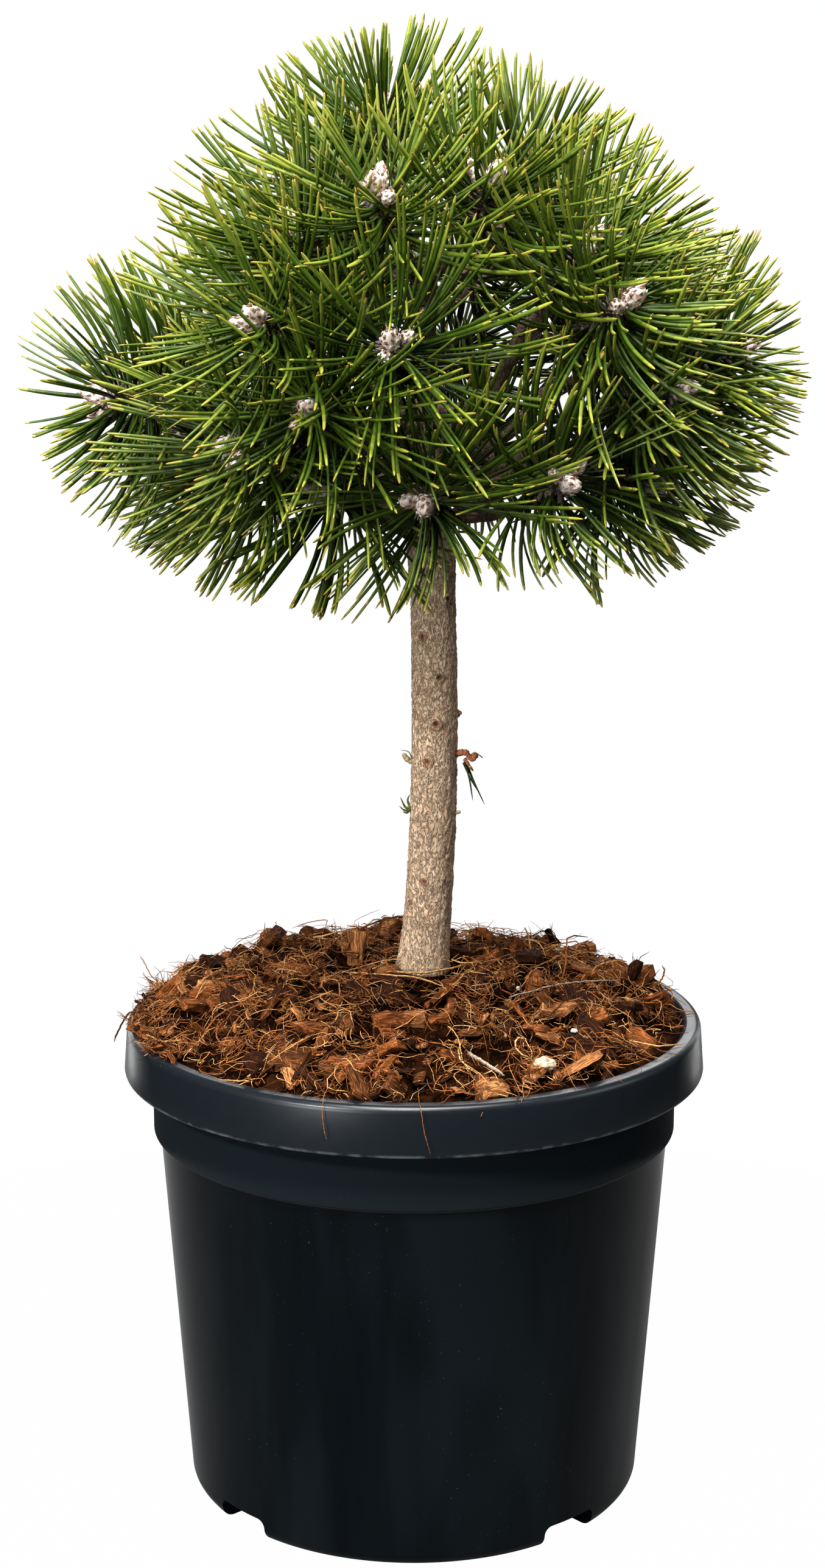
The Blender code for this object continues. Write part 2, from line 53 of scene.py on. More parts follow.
# Sizes that the pot, the coir and the limbs share with the frame
MERGE = 0.00001
GAP = 0.0003
TURN_STEPS = 180
POT_HEIGHT = 0.200
WALL = 0.0020
RIM_RADIUS = 0.1195
RIM_FLARE = 0.0012
RIM_FOOT = 0.180
RIM_ROUND = 0.0030
LIP_RADIUS = 0.1105
LIP_ROUND = 0.0025
LIP_THICKNESS = 0.0028
SHOULDER_RADIUS = 0.1128
BAND_RADIUS = 0.1080
BAND_FOOT = 0.154
BAND_STEP = 0.0012
BODY_TOP_RADIUS = 0.1052
BODY_FOOT_RADIUS = 0.0944
FOOT_ROUND = 0.0060
FLOOR = 0.0022
EDGE_ROUND = 0.0004
CHANNEL_HEADINGS = (42.0, 132.0, 222.0, 312.0)
CHANNEL_WIDTH = 0.027
CHANNEL_HEIGHT = 0.0092
CHANNEL_INNER_END = 0.050
CHANNEL_OUTER_END = 0.120
CHANNEL_ROUND = 0.0035
DRAIN_RADIUS = 0.0045
DRAIN_FROM_AXIS = 0.068
SOIL_EDGE = 0.1978
SOIL_TOP = 0.2155
SOIL_FULLNESS = 4.5
SOIL_LUMP = 0.0022
SOIL_LUMP_SIZE = 0.022

# Trunk
TRUNK_FOOT = Vector((0.0036, 0.0150, 0.2160))
TRUNK_MIDDLE = Vector((0.0083, 0.0080, 0.3050))
TRUNK_HEAD = Vector((0.0069, 0.0035, 0.3950))
TRUNK_TIP = Vector((0.0040, 0.0010, 0.4700))
TRUNK_FOOT_RADIUS = 0.0098
TRUNK_FLARE = 0.0018
TRUNK_FLARE_HEIGHT = 0.010
TRUNK_HEAD_RADIUS = 0.0091
GRAFT_SWELL = 0.0010
GRAFT_LENGTH = 0.012
TRUNK_TIP_RADIUS = 0.0046

# Crown and its masses, each with the heading, lift and reach of its shoots
CROWN_CENTRE = Vector((0.004, 0.000, 0.472))
CROWN_REACH = Vector((0.118, 0.102, 0.090))
REACH_SPREAD = 0.03
MASSES = {
    "top": ((-77, 82, 1.03), (120, 62, 1.00), (-135, 62, 1.02)),
    "front_high": ((-11, 41, 1.04), (20, 49, 1.0)),
    "front_left_high": ((-38, 39, 0.90), (-32, 11, 1.0)),
    "front_right_high": ((42, 32, 0.92), (38, 14, 1.04)),
    "right_high": ((75, 38, 0.80), (115, 30, 0.84)),
    "left_high": ((-80, 36, 0.56), (-118, 30, 0.58)),
    "back_high": ((160, 30, 0.82), (-158, 28, 0.82)),
    "front_middle": ((-21, -9, 1.0), (-6, 6, 1.0)),
    "right": ((76, 1, 1.09), (53, -7, 1.0)),
    "back_right": ((112, 2, 1.0), (140, 5, 1.0)),
    "back": ((172, -2, 1.0), (-150, 2, 1.0)),
    "left": ((-75, -9, 1.10), (-112, -4, 0.98)),
    "front_left_low": ((-39, -19, 1.02), (-31, -42, 0.84)),
    "front_low": ((0, -33, 1.04), (28, -27, 1.06)),
    "right_low": ((60, -32, 1.0), (95, -24, 1.0)),
    "back_right_low": ((128, -26, 1.0), (165, -32, 0.92)),
    "back_left_low": ((-160, -32, 0.90), (-125, -26, 0.94)),
    "left_low": ((-72, -32, 0.88), (-97, -24, 0.94)),
}
# The needles' tips stay inside a dome above its widest level and an ellipsoid below it
DOME_LEVEL = 0.462
DOME_TOP = 0.6065
DOME_FOOT = 0.3500
DOME_POWERS = (1.5, 1.7)
DOME_REACH = (0.1650, 0.1465)
TIP_LIMIT = 0.94
TOP_MASS = "top"
BOUGH_LEVEL = 0.425
BOUGH_RISE = 0.00068
BOUGH_RADIUS = 0.0028
BOUGH_TIP_RADIUS = 0.0023
BOUGH_SHARE = 0.44
BOUGH_POINTS = 5
FORK_SHARE = 0.56
STEM_POINTS = 4
SHOOT_RISE = 0.35
SHOOT_RADIUS = 0.0021
BUD_LENGTH = 0.014
SEED = 22

# Needles, in pairs that share a sheath
PAIRS_PER_SHOOT = 62
PAIR_ZONE = (0.0270, 0.0035)
GOLDEN_TURN = math.radians(137.5)
BUNDLES = 7
LEAN_FIRST = 104.0
LEAN_LAST = 64.0
LEAN_RISE = 34.0
LEAN_SPREAD = 3.2
NEEDLE_LENGTH = 0.054
NEEDLE_GAIN_IN_FRONT = 0.18
NEEDLE_LENGTH_SPREAD = 0.10
NEEDLE_WIDTH = 0.00160
NEEDLE_OPENING = (0.015, 0.075)
NEEDLE_BEND = 0.42
NEEDLE_BEND_SPREAD = 0.06
NEEDLE_SWAY = 0.024
NEEDLE_STEPS = (0.0, 0.05, 0.14, 0.25, 0.37, 0.49, 0.61, 0.72, 0.82, 0.90, 0.955, 0.985, 1.0)
NEEDLE_WIDTHS = (0.55, 0.80, 0.95, 1.0, 1.0, 1.0, 1.0, 0.97, 0.92, 0.85, 0.74, 0.52, 0.16)
NEEDLE_SECTION = ((-0.50, -0.14), (0.0, -0.20), (0.50, -0.14), (0.30, 0.26), (0.0, 0.36), (-0.30, 0.26))
# The dark root tone is partly the needles' own deeper green at the base and partly painted shade for the crown's dark
# inside.
NEEDLE_DARK = (0.0028, 0.010, 0.0008)
NEEDLE_GREEN = (0.052, 0.094, 0.005)
NEEDLE_PALE = (0.300, 0.338, 0.038)
NEEDLE_LIME = (0.255, 0.268, 0.030)
NEEDLE_YELLOW = (0.310, 0.245, 0.034)
NEEDLE_GOLD = (0.290, 0.150, 0.030)
NEEDLE_TONES = 8


# Materials

class Finish:
    """A material whose colour, roughness and relief are built up from nodes."""

    def __init__(self, name, colour, roughness, **constants):
        self.material = bpy.data.materials.new(name)
        self.material.use_nodes = True
        self.tree = self.material.node_tree
        self.shader = self.tree.nodes["Principled BSDF"]
        self.shader.inputs["Base Color"].default_value = (*colour, 1.0)
        self.shader.inputs["Roughness"].default_value = roughness
        self.shader.inputs["Metallic"].default_value = 0.0
        for socket, value in constants.items():
            self.shader.inputs[socket.replace("_", " ")].default_value = value
        self.place = self.tree.nodes.new("ShaderNodeTexCoord").outputs["Object"]

    def add(self, kind, inputs, **settings):
        made = self.tree.nodes.new(kind)
        for setting, value in settings.items():
            setattr(made, setting, value)
        for socket, value in inputs.items():
            if isinstance(value, bpy.types.NodeSocket):
                self.tree.links.new(value, made.inputs[socket])
            else:
                made.inputs[socket].default_value = value
        return made

    def stretched(self, scale, place=None):
        return self.add("ShaderNodeMapping", {"Vector": place or self.place, "Scale": scale}).outputs[0]

    def noise(self, scale, detail=3.0, place=None, distortion=0.0):
        inputs = {"Vector": place or self.place, "Scale": scale, "Detail": detail, "Distortion": distortion}
        return self.add("ShaderNodeTexNoise", inputs).outputs["Fac"]

    def range(self, value, low, high, to_low=0.0, to_high=1.0):
        inputs = {"Value": value, "From Min": low, "From Max": high, "To Min": to_low, "To Max": to_high}
        return self.add("ShaderNodeMapRange", inputs, clamp=True).outputs[0]

    def mix(self, share, first, second):
        node = self.add("ShaderNodeMix", {}, data_type="RGBA")
        for socket, value in ((0, share), (6, first), (7, second)):
            if isinstance(value, bpy.types.NodeSocket):
                self.tree.links.new(value, node.inputs[socket])
            elif isinstance(value, tuple):
                node.inputs[socket].default_value = (*value, 1.0)
            else:
                node.inputs[socket].default_value = value
        return node.outputs[2]

    def maths(self, operation, first, second):
        return self.add("ShaderNodeMath", {0: first, 1: second}, operation=operation).outputs[0]

    def height_of(self):
        return self.add("ShaderNodeSeparateXYZ", {"Vector": self.place}).outputs["Z"]

    def colour(self, source):
        self.tree.links.new(source, self.shader.inputs["Base Color"])

    def roughness(self, source):
        self.tree.links.new(source, self.shader.inputs["Roughness"])

    def gloss(self, source):
        self.tree.links.new(source, self.shader.inputs["Specular IOR Level"])

    def relief(self, height, distance, strength=1.0):
        bump = self.add("ShaderNodeBump", {"Height": height, "Distance": distance, "Strength": strength})
        self.tree.links.new(bump.outputs["Normal"], self.shader.inputs["Normal"])


def pot_plastic():
    """Black moulded plastic: faint upright streaks, fine grain, dust and a scuffed skirt edge, with painted light: the
    band lightened against the shade under the rim, a painted highlight along the band's foot, and a rim painted paler
    as a painted reflection.
    """
    black = (0.0008, 0.0016, 0.0024)
    finish = Finish("pot_plastic", black, 0.30)
    streaks = finish.noise(60.0, 4.0, finish.stretched((1.0, 1.0, 0.06)))
    curtain = finish.noise(27.0, 3.0, finish.stretched((1.0, 1.0, 0.22)), 0.4)
    cloud = finish.noise(14.0, 3.0)
    tone = finish.mix(finish.range(streaks, 0.35, 0.70), black, (0.0018, 0.0032, 0.0042))
    tone = finish.mix(finish.range(curtain, 0.46, 0.66), tone, (0.0030, 0.0052, 0.0064))
    height = finish.height_of()
    # Painted light: above the band's foot the black is painted lighter, to lift the shade that falls under the rim.
    painted_band_light = finish.range(height, BAND_FOOT - 0.0006, BAND_FOOT + 0.0004)
    tone = finish.mix(painted_band_light, tone, (0.0064, 0.0094, 0.0116))
    # Painted reflection: the rim is painted paler than the body for the light it reflects; the same mask also raises
    # its gloss and roughness.
    rim = finish.range(height, RIM_FOOT - 0.0010, RIM_FOOT)
    tone = finish.mix(rim, tone, (0.0050, 0.0070, 0.0092))
    # Painted highlight: a thin pale line along the band's foot, broken by the streaks, stands for light caught on the
    # step's edge.
    step = finish.maths("ABSOLUTE", finish.maths("SUBTRACT", height, BAND_FOOT - 0.0002), 0.0)
    step = finish.range(step, 0.0003, 0.0007, 0.75, 0.0)
    tone = finish.mix(finish.maths("MULTIPLY", step, streaks), tone, (0.060, 0.066, 0.072))
    dust = finish.range(finish.noise(900.0, 2.0), 0.72, 0.78)
    dusty = finish.maths("MULTIPLY", dust, finish.range(cloud, 0.45, 0.65, 0.0, 0.40))
    tone = finish.mix(dusty, tone, (0.10, 0.105, 0.11))
    below = finish.range(height, RIM_FOOT + 0.0006, RIM_FOOT + 0.0016, 1.0, 0.0)
    edge = finish.maths("MULTIPLY", below, finish.range(height, RIM_FOOT - 0.0006, RIM_FOOT - 0.0002))
    worn = finish.maths("MULTIPLY", edge, finish.range(finish.noise(180.0, 5.0), 0.40, 0.62, 0.0, 0.85))
    tone = finish.mix(worn, tone, (0.090, 0.096, 0.102))
    finish.colour(tone)
    finish.gloss(finish.maths("ADD", finish.maths("MULTIPLY", rim, 0.22), 0.08))
    rough = finish.range(finish.noise(240.0, 5.0), 0.30, 0.72, 0.07, 0.11)
    finish.roughness(finish.maths("ADD", rough, finish.maths("MULTIPLY", rim, 0.22)))
    grain = finish.noise(1600.0, 2.0)
    finish.relief(finish.maths("ADD", grain, finish.maths("MULTIPLY", streaks, 1.5)), 0.00003, 0.3)
    return finish.material


def coir_humus_and_shade():
    # Painted nearly black: partly the dark humus itself and partly painted shade for the deep gaps between the chips
    # and fibres.
    finish = Finish("coir_humus_and_shade", (0.012, 0.004, 0.0012), 0.95, Specular_IOR_Level=0.02)
    coarse = finish.noise(160.0, 6.0, None, 0.6)
    fine = finish.noise(900.0, 4.0)
    tone = finish.mix(finish.range(coarse, 0.46, 0.72), (0.0030, 0.0009, 0.0003), (0.028, 0.008, 0.002))
    tone = finish.mix(finish.range(fine, 0.60, 0.76, 0.0, 0.5), tone, (0.11, 0.040, 0.012))
    finish.colour(tone)
    finish.relief(finish.maths("ADD", coarse, fine), 0.0010, 0.9)
    return finish.material


def grained(name, colour, paler, scale, roughness=0.85):
    """Fibrous or woody stuff in one colour, broken up by fine darker and paler grain."""
    finish = Finish(name, colour, roughness, Specular_IOR_Level=0.08)
    grain = finish.noise(scale, 4.0, finish.stretched((1.0, 0.45, 1.6)), 0.8)
    dark = tuple(part * 0.45 for part in colour)
    tone = finish.mix(finish.range(grain, 0.36, 0.52), dark, colour)
    finish.colour(finish.mix(finish.range(grain, 0.55, 0.72), tone, paler))
    finish.relief(grain, 0.0006, 0.9)
    return finish.material


def fibrous(name, colour, paler):
    """Coir husk whose fine fibres run along each chip, dark between them."""
    finish = Finish(name, colour, 0.85, Specular_IOR_Level=0.06)
    along = finish.add("ShaderNodeAttribute", {}, attribute_name="grain").outputs["Vector"]
    fine = finish.noise(2600.0, 3.0, finish.stretched((1.0, 1.0, 0.07), along), 0.3)
    broad = finish.noise(420.0, 3.0, finish.stretched((1.0, 1.0, 0.35), along), 0.6)
    dark = tuple(part * 0.20 for part in colour)
    tone = finish.mix(finish.range(fine, 0.34, 0.50), dark, colour)
    tone = finish.mix(finish.range(fine, 0.54, 0.70), tone, paler)
    tone = finish.mix(finish.range(broad, 0.45, 0.62, 0.0, 0.80), tone, dark)
    finish.colour(tone)
    finish.relief(fine, 0.0005, 1.0)
    return finish.material


def bark(name, warm, light=1.0):
    """Grey-brown bark: small upright plates with thin dark cracks between, pale flakes, pinkish patches,
    and reddish-brown scars where the scar attribute says so."""
    # Every colour is scaled by light; a low light gives a darker copy of the bark, which for the twigs and boughs is
    # painted shade.
    plain, pale, palest, reddish, shaded = [
        tuple(part * light for part in colour)
        for colour in (
            (0.440, 0.305, 0.195), (0.780, 0.560, 0.370), (0.97, 0.80, 0.60), (0.66, 0.330, 0.185),
            (0.43, 0.315, 0.215),
        )
    ]
    finish = Finish(name, plain, 0.88, Specular_IOR_Level=0.10)
    upward = finish.stretched((1.0, 1.0, 0.50))
    plates = finish.noise(480.0, 5.0, upward, 1.3)
    crack = finish.maths("ABSOLUTE", finish.maths("SUBTRACT", plates, 0.5), 0.0)
    flakes = finish.noise(1000.0, 4.0, finish.stretched((1.0, 1.0, 0.7)), 0.5)
    broad = finish.noise(90.0, 3.0)
    tone = finish.mix(finish.range(flakes, 0.36, 0.60), plain, pale)
    tone = finish.mix(finish.range(flakes, 0.58, 0.72), tone, palest)
    pink = finish.range(finish.noise(260.0, 3.0), 0.58, 0.72, 0.0, 0.55 + warm)
    tone = finish.mix(pink, tone, reddish)
    tone = finish.mix(finish.range(broad, 0.45, 0.70, 0.0, 0.30), tone, shaded)
    tone = finish.mix(finish.range(crack, 0.002, 0.024, 0.78, 0.0), tone, (0.080, 0.048, 0.032))
    scar = finish.add("ShaderNodeAttribute", {}, attribute_name="scar").outputs["Fac"]
    tone = finish.mix(finish.range(scar, 0.10, 0.55, 0.0, 0.85), tone, (0.300, 0.120, 0.060))
    tone = finish.mix(finish.range(scar, 0.60, 0.85), tone, (0.090, 0.038, 0.022))
    finish.colour(tone)
    plate_height = finish.range(crack, 0.0, 0.085)
    finish.relief(finish.maths("ADD", plate_height, finish.maths("MULTIPLY", flakes, 0.8)), 0.0006, 1.0)
    return finish.material


def needle_skin(name, colour, gloss=0.45):
    """Waxy needle in one plain colour with a faint fine mottle in its gloss."""
    finish = Finish(name, colour, 0.38, Specular_IOR_Level=gloss)
    finish.roughness(finish.range(finish.noise(700.0, 2.0), 0.3, 0.7, 0.31, 0.48))
    return finish.material


def resin_bud():
    finish = Finish("bud_resin", (0.68, 0.58, 0.52), 0.55, Specular_IOR_Level=0.4)
    patch = finish.noise(520.0, 4.0)
    tone = finish.mix(finish.range(patch, 0.34, 0.46), (0.26, 0.13, 0.075), (0.72, 0.63, 0.57))
    finish.colour(tone)
    finish.relief(patch, 0.0004, 0.8)
    return finish.material


def floor_paint():
    """Pale grey for the light, and nearly white in the view."""
    finish = Finish("studio_floor", (0.12, 0.12, 0.12), 0.8, Specular_IOR_Level=0.0)
    finish.colour(finish.mix(finish.range(finish.noise(3.0), 0.3, 0.7), (0.117, 0.117, 0.117), (0.123, 0.123, 0.123)))
    white = finish.add("ShaderNodeEmission", {"Color": (1.0, 1.0, 1.0, 1.0), "Strength": 1.0}).outputs[0]
    seen = finish.add("ShaderNodeLightPath", {}).outputs["Is Camera Ray"]
    inputs = {0: finish.maths("MULTIPLY", seen, 0.99), 1: finish.shader.outputs[0], 2: white}
    both = finish.add("ShaderNodeMixShader", inputs).outputs[0]
    finish.tree.links.new(both, finish.tree.nodes["Material Output"].inputs["Surface"])
    return finish.material


# Making and joining pieces

def add_piece(name, mesh, slot, materials, *replaced):
    """Hangs a finished mesh on the part's one body as a piece, and hides the parts that it stands for. The slot is not
    used.
    """
    piece = bpy.data.objects.new(name, mesh)
    bpy.context.scene.collection.objects.link(piece)
    for material in materials:
        mesh.materials.append(material)
    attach(piece, "root")
    if replaced:
        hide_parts(*replaced)
    return piece


def joined_mesh(name, points, faces, slots):
    """One smooth mesh from arrays: points, faces as arrays of corners, and each face's material slot."""
    corners = np.concatenate([part.ravel() for part in faces])
    sizes = np.concatenate([np.full(len(part), part.shape[1]) for part in faces])
    mesh = bpy.data.meshes.new(name)
    mesh.vertices.add(len(points))
    mesh.vertices.foreach_set("co", points.astype(np.float32).ravel())
    mesh.loops.add(len(corners))
    mesh.loops.foreach_set("vertex_index", corners.astype(np.int32))
    mesh.polygons.add(len(sizes))
    mesh.polygons.foreach_set("loop_start", (np.cumsum(sizes) - sizes).astype(np.int32))
    mesh.polygons.foreach_set("material_index", np.concatenate(slots).astype(np.int32))
    mesh.update(calc_edges=True)
    mesh.shade_smooth()
    return mesh


def unit(vectors):
    return vectors / np.maximum(np.linalg.norm(vectors, axis=-1, keepdims=True), 1e-12)


def strands(routes, widths, heights, section, facing, slots):
    """Many closed strands at once. A route is a row of points, and the section is drawn about each
    of them, across the strand and along its facing direction. Returns points, faces and slots."""
    count, steps, _ = routes.shape
    sides = len(section)
    ahead = unit(np.gradient(routes, axis=1))
    outward = facing[:, None, :] - ahead * (ahead * facing[:, None, :]).sum(-1, keepdims=True)
    outward = unit(outward)
    across = np.cross(outward, ahead)
    shape = np.array(section)
    points = (
        routes[:, :, None, :]
        + across[:, :, None, :] * (widths[:, :, None] * shape[:, 0])[..., None]
        + outward[:, :, None, :] * (heights[:, :, None] * shape[:, 1])[..., None]
    )
    index = np.arange(count * steps * sides).reshape(count, steps, sides)
    near = index[:, :-1, :]
    far = index[:, 1:, :]
    walls = np.stack([near, np.roll(near, -1, 2), np.roll(far, -1, 2), far], axis=-1).reshape(-1, 4)
    ends = np.concatenate([index[:, 0, ::-1], index[:, -1, :]])
    wall_slots = np.repeat(slots[:, :, None], sides, axis=2).ravel()
    end_slots = np.concatenate([slots[:, 0], slots[:, -1]])
    return points.reshape(-1, 3), [walls, ends], [wall_slots, end_slots]


def round_section(sides):
    return [(math.cos(math.tau * k / sides), math.sin(math.tau * k / sides)) for k in range(sides)]


def strand_mesh(name, *batches):
    """One mesh from several batches of strands."""
    points, faces, slots, start = [], [], [], 0
    for batch_points, batch_faces, batch_slots in batches:
        points.append(batch_points)
        faces += [part + start for part in batch_faces]
        slots += batch_slots
        start += len(batch_points)
    return joined_mesh(name, np.concatenate(points), faces, slots)


# Pot

def arc(centre, size, first, last, steps):
    """Points of an arc in a turned profile, as (radius, height), by angles in degrees."""
    points = []
    for step in range(steps + 1):
        angle = math.radians(first + (last - first) * step / steps)
        points.append((centre[0] + size * math.cos(angle), centre[1] + size * math.sin(angle)))
    return points


def turned_mesh(name, profile):
    """A closed solid turned about Z from (radius, height) points whose ends lie on the axis."""
    shape = bmesh.new()
    corners = [shape.verts.new((radius, 0.0, height)) for radius, height in profile]
    line = [shape.edges.new(pair) for pair in zip(corners, corners[1:])]
    bmesh.ops.spin(
        shape, geom=[*corners, *line], cent=(0, 0, 0), axis=(0, 0, 1), angle=math.tau,
        steps=TURN_STEPS, use_merge=True,
    )
    bmesh.ops.remove_doubles(shape, verts=shape.verts, dist=MERGE)
    bmesh.ops.recalc_face_normals(shape, faces=shape.faces)
    mesh = bpy.data.meshes.new(name)
    shape.to_mesh(mesh)
    shape.free()
    return mesh


def helper(name, mesh):
    made = bpy.data.objects.new(name, mesh)
    bpy.context.scene.collection.objects.link(made)
    return made


def cut_away(target, cutters):
    """Cuts closed helper objects out of another one, for good, and removes them."""
    for cutter in cutters:
        boolean = target.modifiers.new("Cut", "BOOLEAN")
        boolean.operation = "DIFFERENCE"
        boolean.solver = "MANIFOLD"
        boolean.object = cutter
    graph = bpy.context.evaluated_depsgraph_get()
    mesh = bpy.data.meshes.new_from_object(target.evaluated_get(graph))
    for used in (target, *cutters):
        bpy.data.objects.remove(used)
    return mesh


def channel_block(name, heading, grow):
    """A round-topped block along one drain channel, larger all round by grow."""
    start = CHANNEL_INNER_END - grow
    sides = Vector((CHANNEL_OUTER_END - start, CHANNEL_WIDTH + 2 * grow, 2 * (CHANNEL_HEIGHT + grow)))
    shape = bmesh.new()
    bmesh.ops.create_cube(shape, size=1.0)
    bmesh.ops.scale(shape, vec=sides, verts=shape.verts)
    bmesh.ops.translate(shape, vec=(start + sides.x / 2, 0.0, 0.0), verts=shape.verts)
    rounded = [edge for edge in shape.edges if min(vert.co.z for vert in edge.verts) > 0]
    bmesh.ops.bevel(
        shape, geom=rounded, offset=CHANNEL_ROUND, segments=6, profile=0.5, affect="EDGES", material=-1
    )
    turn = Matrix.Rotation(math.radians(heading - 90.0), 4, "Z")
    bmesh.ops.transform(shape, matrix=turn, verts=shape.verts)
    mesh = bpy.data.meshes.new(name)
    shape.to_mesh(mesh)
    shape.free()
    return helper(name, mesh)


def drain_block(heading):
    centre = Matrix.Rotation(math.radians(heading - 90.0), 4, "Z") @ Vector((DRAIN_FROM_AXIS, 0.0, 0.0))
    shape = bmesh.new()
    bmesh.ops.create_cone(
        shape, cap_ends=True, segments=32, radius1=DRAIN_RADIUS, radius2=DRAIN_RADIUS,
        depth=3 * WALL + CHANNEL_HEIGHT / 2,
    )
    bmesh.ops.translate(shape, vec=centre + Vector((0, 0, CHANNEL_HEIGHT + WALL / 2)), verts=shape.verts)
    mesh = bpy.data.meshes.new("drain")
    shape.to_mesh(mesh)
    shape.free()
    return helper("drain", mesh)


def make_pot():
    rim_top = RIM_RADIUS - RIM_FLARE
    skirt_middle = RIM_RADIUS - WALL / 2
    outside = [
        (0.0, POT_HEIGHT),
        *arc((rim_top - RIM_ROUND, POT_HEIGHT - RIM_ROUND), RIM_ROUND, 90, 0, 8),
        *arc((skirt_middle, RIM_FOOT + WALL / 2), WALL / 2, 0, -180, 6),
        *arc((rim_top - WALL - 0.0015, POT_HEIGHT - LIP_THICKNESS - 0.0015), 0.0015, 0, 90, 3),
        *arc((SHOULDER_RADIUS + 0.0010, POT_HEIGHT - LIP_THICKNESS - 0.0010), 0.0010, 90, 180, 3),
        *arc((BAND_RADIUS + 0.0012, RIM_FOOT + WALL + 0.0012), 0.0012, 200, 180, 2),
        *arc((BAND_RADIUS - EDGE_ROUND, BAND_FOOT + BAND_STEP), EDGE_ROUND, 0, -50, 3),
        *arc((BODY_TOP_RADIUS + 0.0008, BAND_FOOT - BAND_STEP), 0.0008, 130, 180, 3),
        *arc((BODY_FOOT_RADIUS - FOOT_ROUND, FOOT_ROUND), FOOT_ROUND, 0, -90, 8),
        (0.0, 0.0),
    ]
    lip = arc((LIP_RADIUS + LIP_ROUND, POT_HEIGHT - LIP_ROUND), LIP_ROUND, 100, 180, 6)
    inside = [
        (0.0, POT_HEIGHT + WALL),
        (lip[0][0], POT_HEIGHT + WALL),
        *lip,
        (BAND_RADIUS - WALL, RIM_FOOT + WALL),
        (BAND_RADIUS - WALL, BAND_FOOT + BAND_STEP),
        (BODY_TOP_RADIUS - WALL, BAND_FOOT - BAND_STEP),
        (BODY_FOOT_RADIUS - WALL, FOOT_ROUND + FLOOR),
        (BODY_FOOT_RADIUS - FOOT_ROUND, FLOOR),
        (0.0, FLOOR),
    ]
    room = helper("room", turned_mesh("room", inside))
    ridges = [channel_block("ridge", heading, WALL) for heading in CHANNEL_HEADINGS]
    room = helper("room", cut_away(room, ridges))
    body = helper("body", turned_mesh("body", outside))
    channels = [channel_block("channel", heading, 0.0) for heading in CHANNEL_HEADINGS]
    drains = [drain_block(heading) for heading in CHANNEL_HEADINGS]
    mesh = cut_away(body, [room, *channels, *drains])
    mesh.name = "moulded_pot"
    mesh.materials.clear()
    mesh.shade_smooth()
    mesh.set_sharp_from_angle(angle=math.radians(32.0))
    add_piece("moulded_pot", mesh, "pot_plastic", [pot_plastic()], "pot")


# Coir

COIR_RINGS = 90
CHIP_COUNT = 420
CHIP_FIBRES = 10
TUFT_COUNT = 700
TUFT_FIBRES = 7
FIBRE_COUNT = 1200
ROOT_COUNT = 40
SPILL_COUNT = 70
PIT_SIZE = 0.0150
PIT_DEPTH = 0.0070
PIT_SHARE = 0.10


def soil_height(x, y):
    """Height of the coir's surface: a low heap, fullest by the stem, with lumps that die out at the rim."""
    edge = LIP_RADIUS - GAP
    out = min(1.0, math.hypot(x, y) / edge)
    heap = (1.0 - out ** SOIL_FULLNESS) * (SOIL_TOP - SOIL_EDGE)
    lumps = noise.noise(Vector((x, y, 0.5)) / SOIL_LUMP_SIZE) * SOIL_LUMP
    return SOIL_EDGE + heap + lumps * min(1.0, 4.0 * (1.0 - out))


def pit_depth(x, y):
    """Depth of the dark hollows between the clumps of coir."""
    hollow = noise.noise(Vector((x, y, 7.7)) / PIT_SIZE)
    inside = max(0.0, min(1.0, 7.0 * (1.0 - math.hypot(x, y) / LIP_RADIUS)))
    return PIT_DEPTH * max(0.0, min(1.0, (hollow - 0.06) * 5.0)) * inside


def coir_heights(places):
    return np.array([soil_height(x, y) - 0.5 * pit_depth(x, y) for x, y in places])


def make_coir_bed():
    """The dark bed of the coir: a turned body whose top is raised into crumbly lumps with hollows between."""
    edge = LIP_RADIUS - GAP
    top = [(edge * ring / COIR_RINGS, SOIL_EDGE) for ring in range(COIR_RINGS)]
    outline = [
        *top,
        (edge, SOIL_EDGE),
        (BAND_RADIUS - WALL - GAP, RIM_FOOT + WALL),
        (BAND_RADIUS - WALL - GAP, BAND_FOOT + BAND_STEP),
        (BODY_TOP_RADIUS - WALL - GAP, BAND_FOOT - BAND_STEP),
        (BODY_FOOT_RADIUS - WALL - GAP, FOOT_ROUND + FLOOR),
        (BODY_FOOT_RADIUS - FOOT_ROUND, CHANNEL_HEIGHT + WALL + GAP),
        (0.0, CHANNEL_HEIGHT + WALL + GAP),
    ]
    mesh = turned_mesh("coir_bed", outline)
    count = len(mesh.vertices)
    places = np.empty(count * 3, np.float32)
    mesh.vertices.foreach_get("co", places)
    places = places.reshape(-1, 3)
    for number in np.flatnonzero(places[:, 2] > SOIL_EDGE - MERGE):
        x, y, _ = places[number]
        fade = min(1.0, 12.0 * (1.0 - math.hypot(x, y) / edge))
        rough = noise.fractal(Vector((x, y, 3.1)) / 0.0045, 0.8, 2.2, 4)
        places[number, 2] = soil_height(x, y) - 0.0018 + 0.0017 * rough * fade - pit_depth(x, y)
    mesh.vertices.foreach_set("co", places.ravel())
    mesh.update()
    mesh.shade_smooth()
    add_piece("coir_bed", mesh, "coir", [coir_humus_and_shade()], "soil")


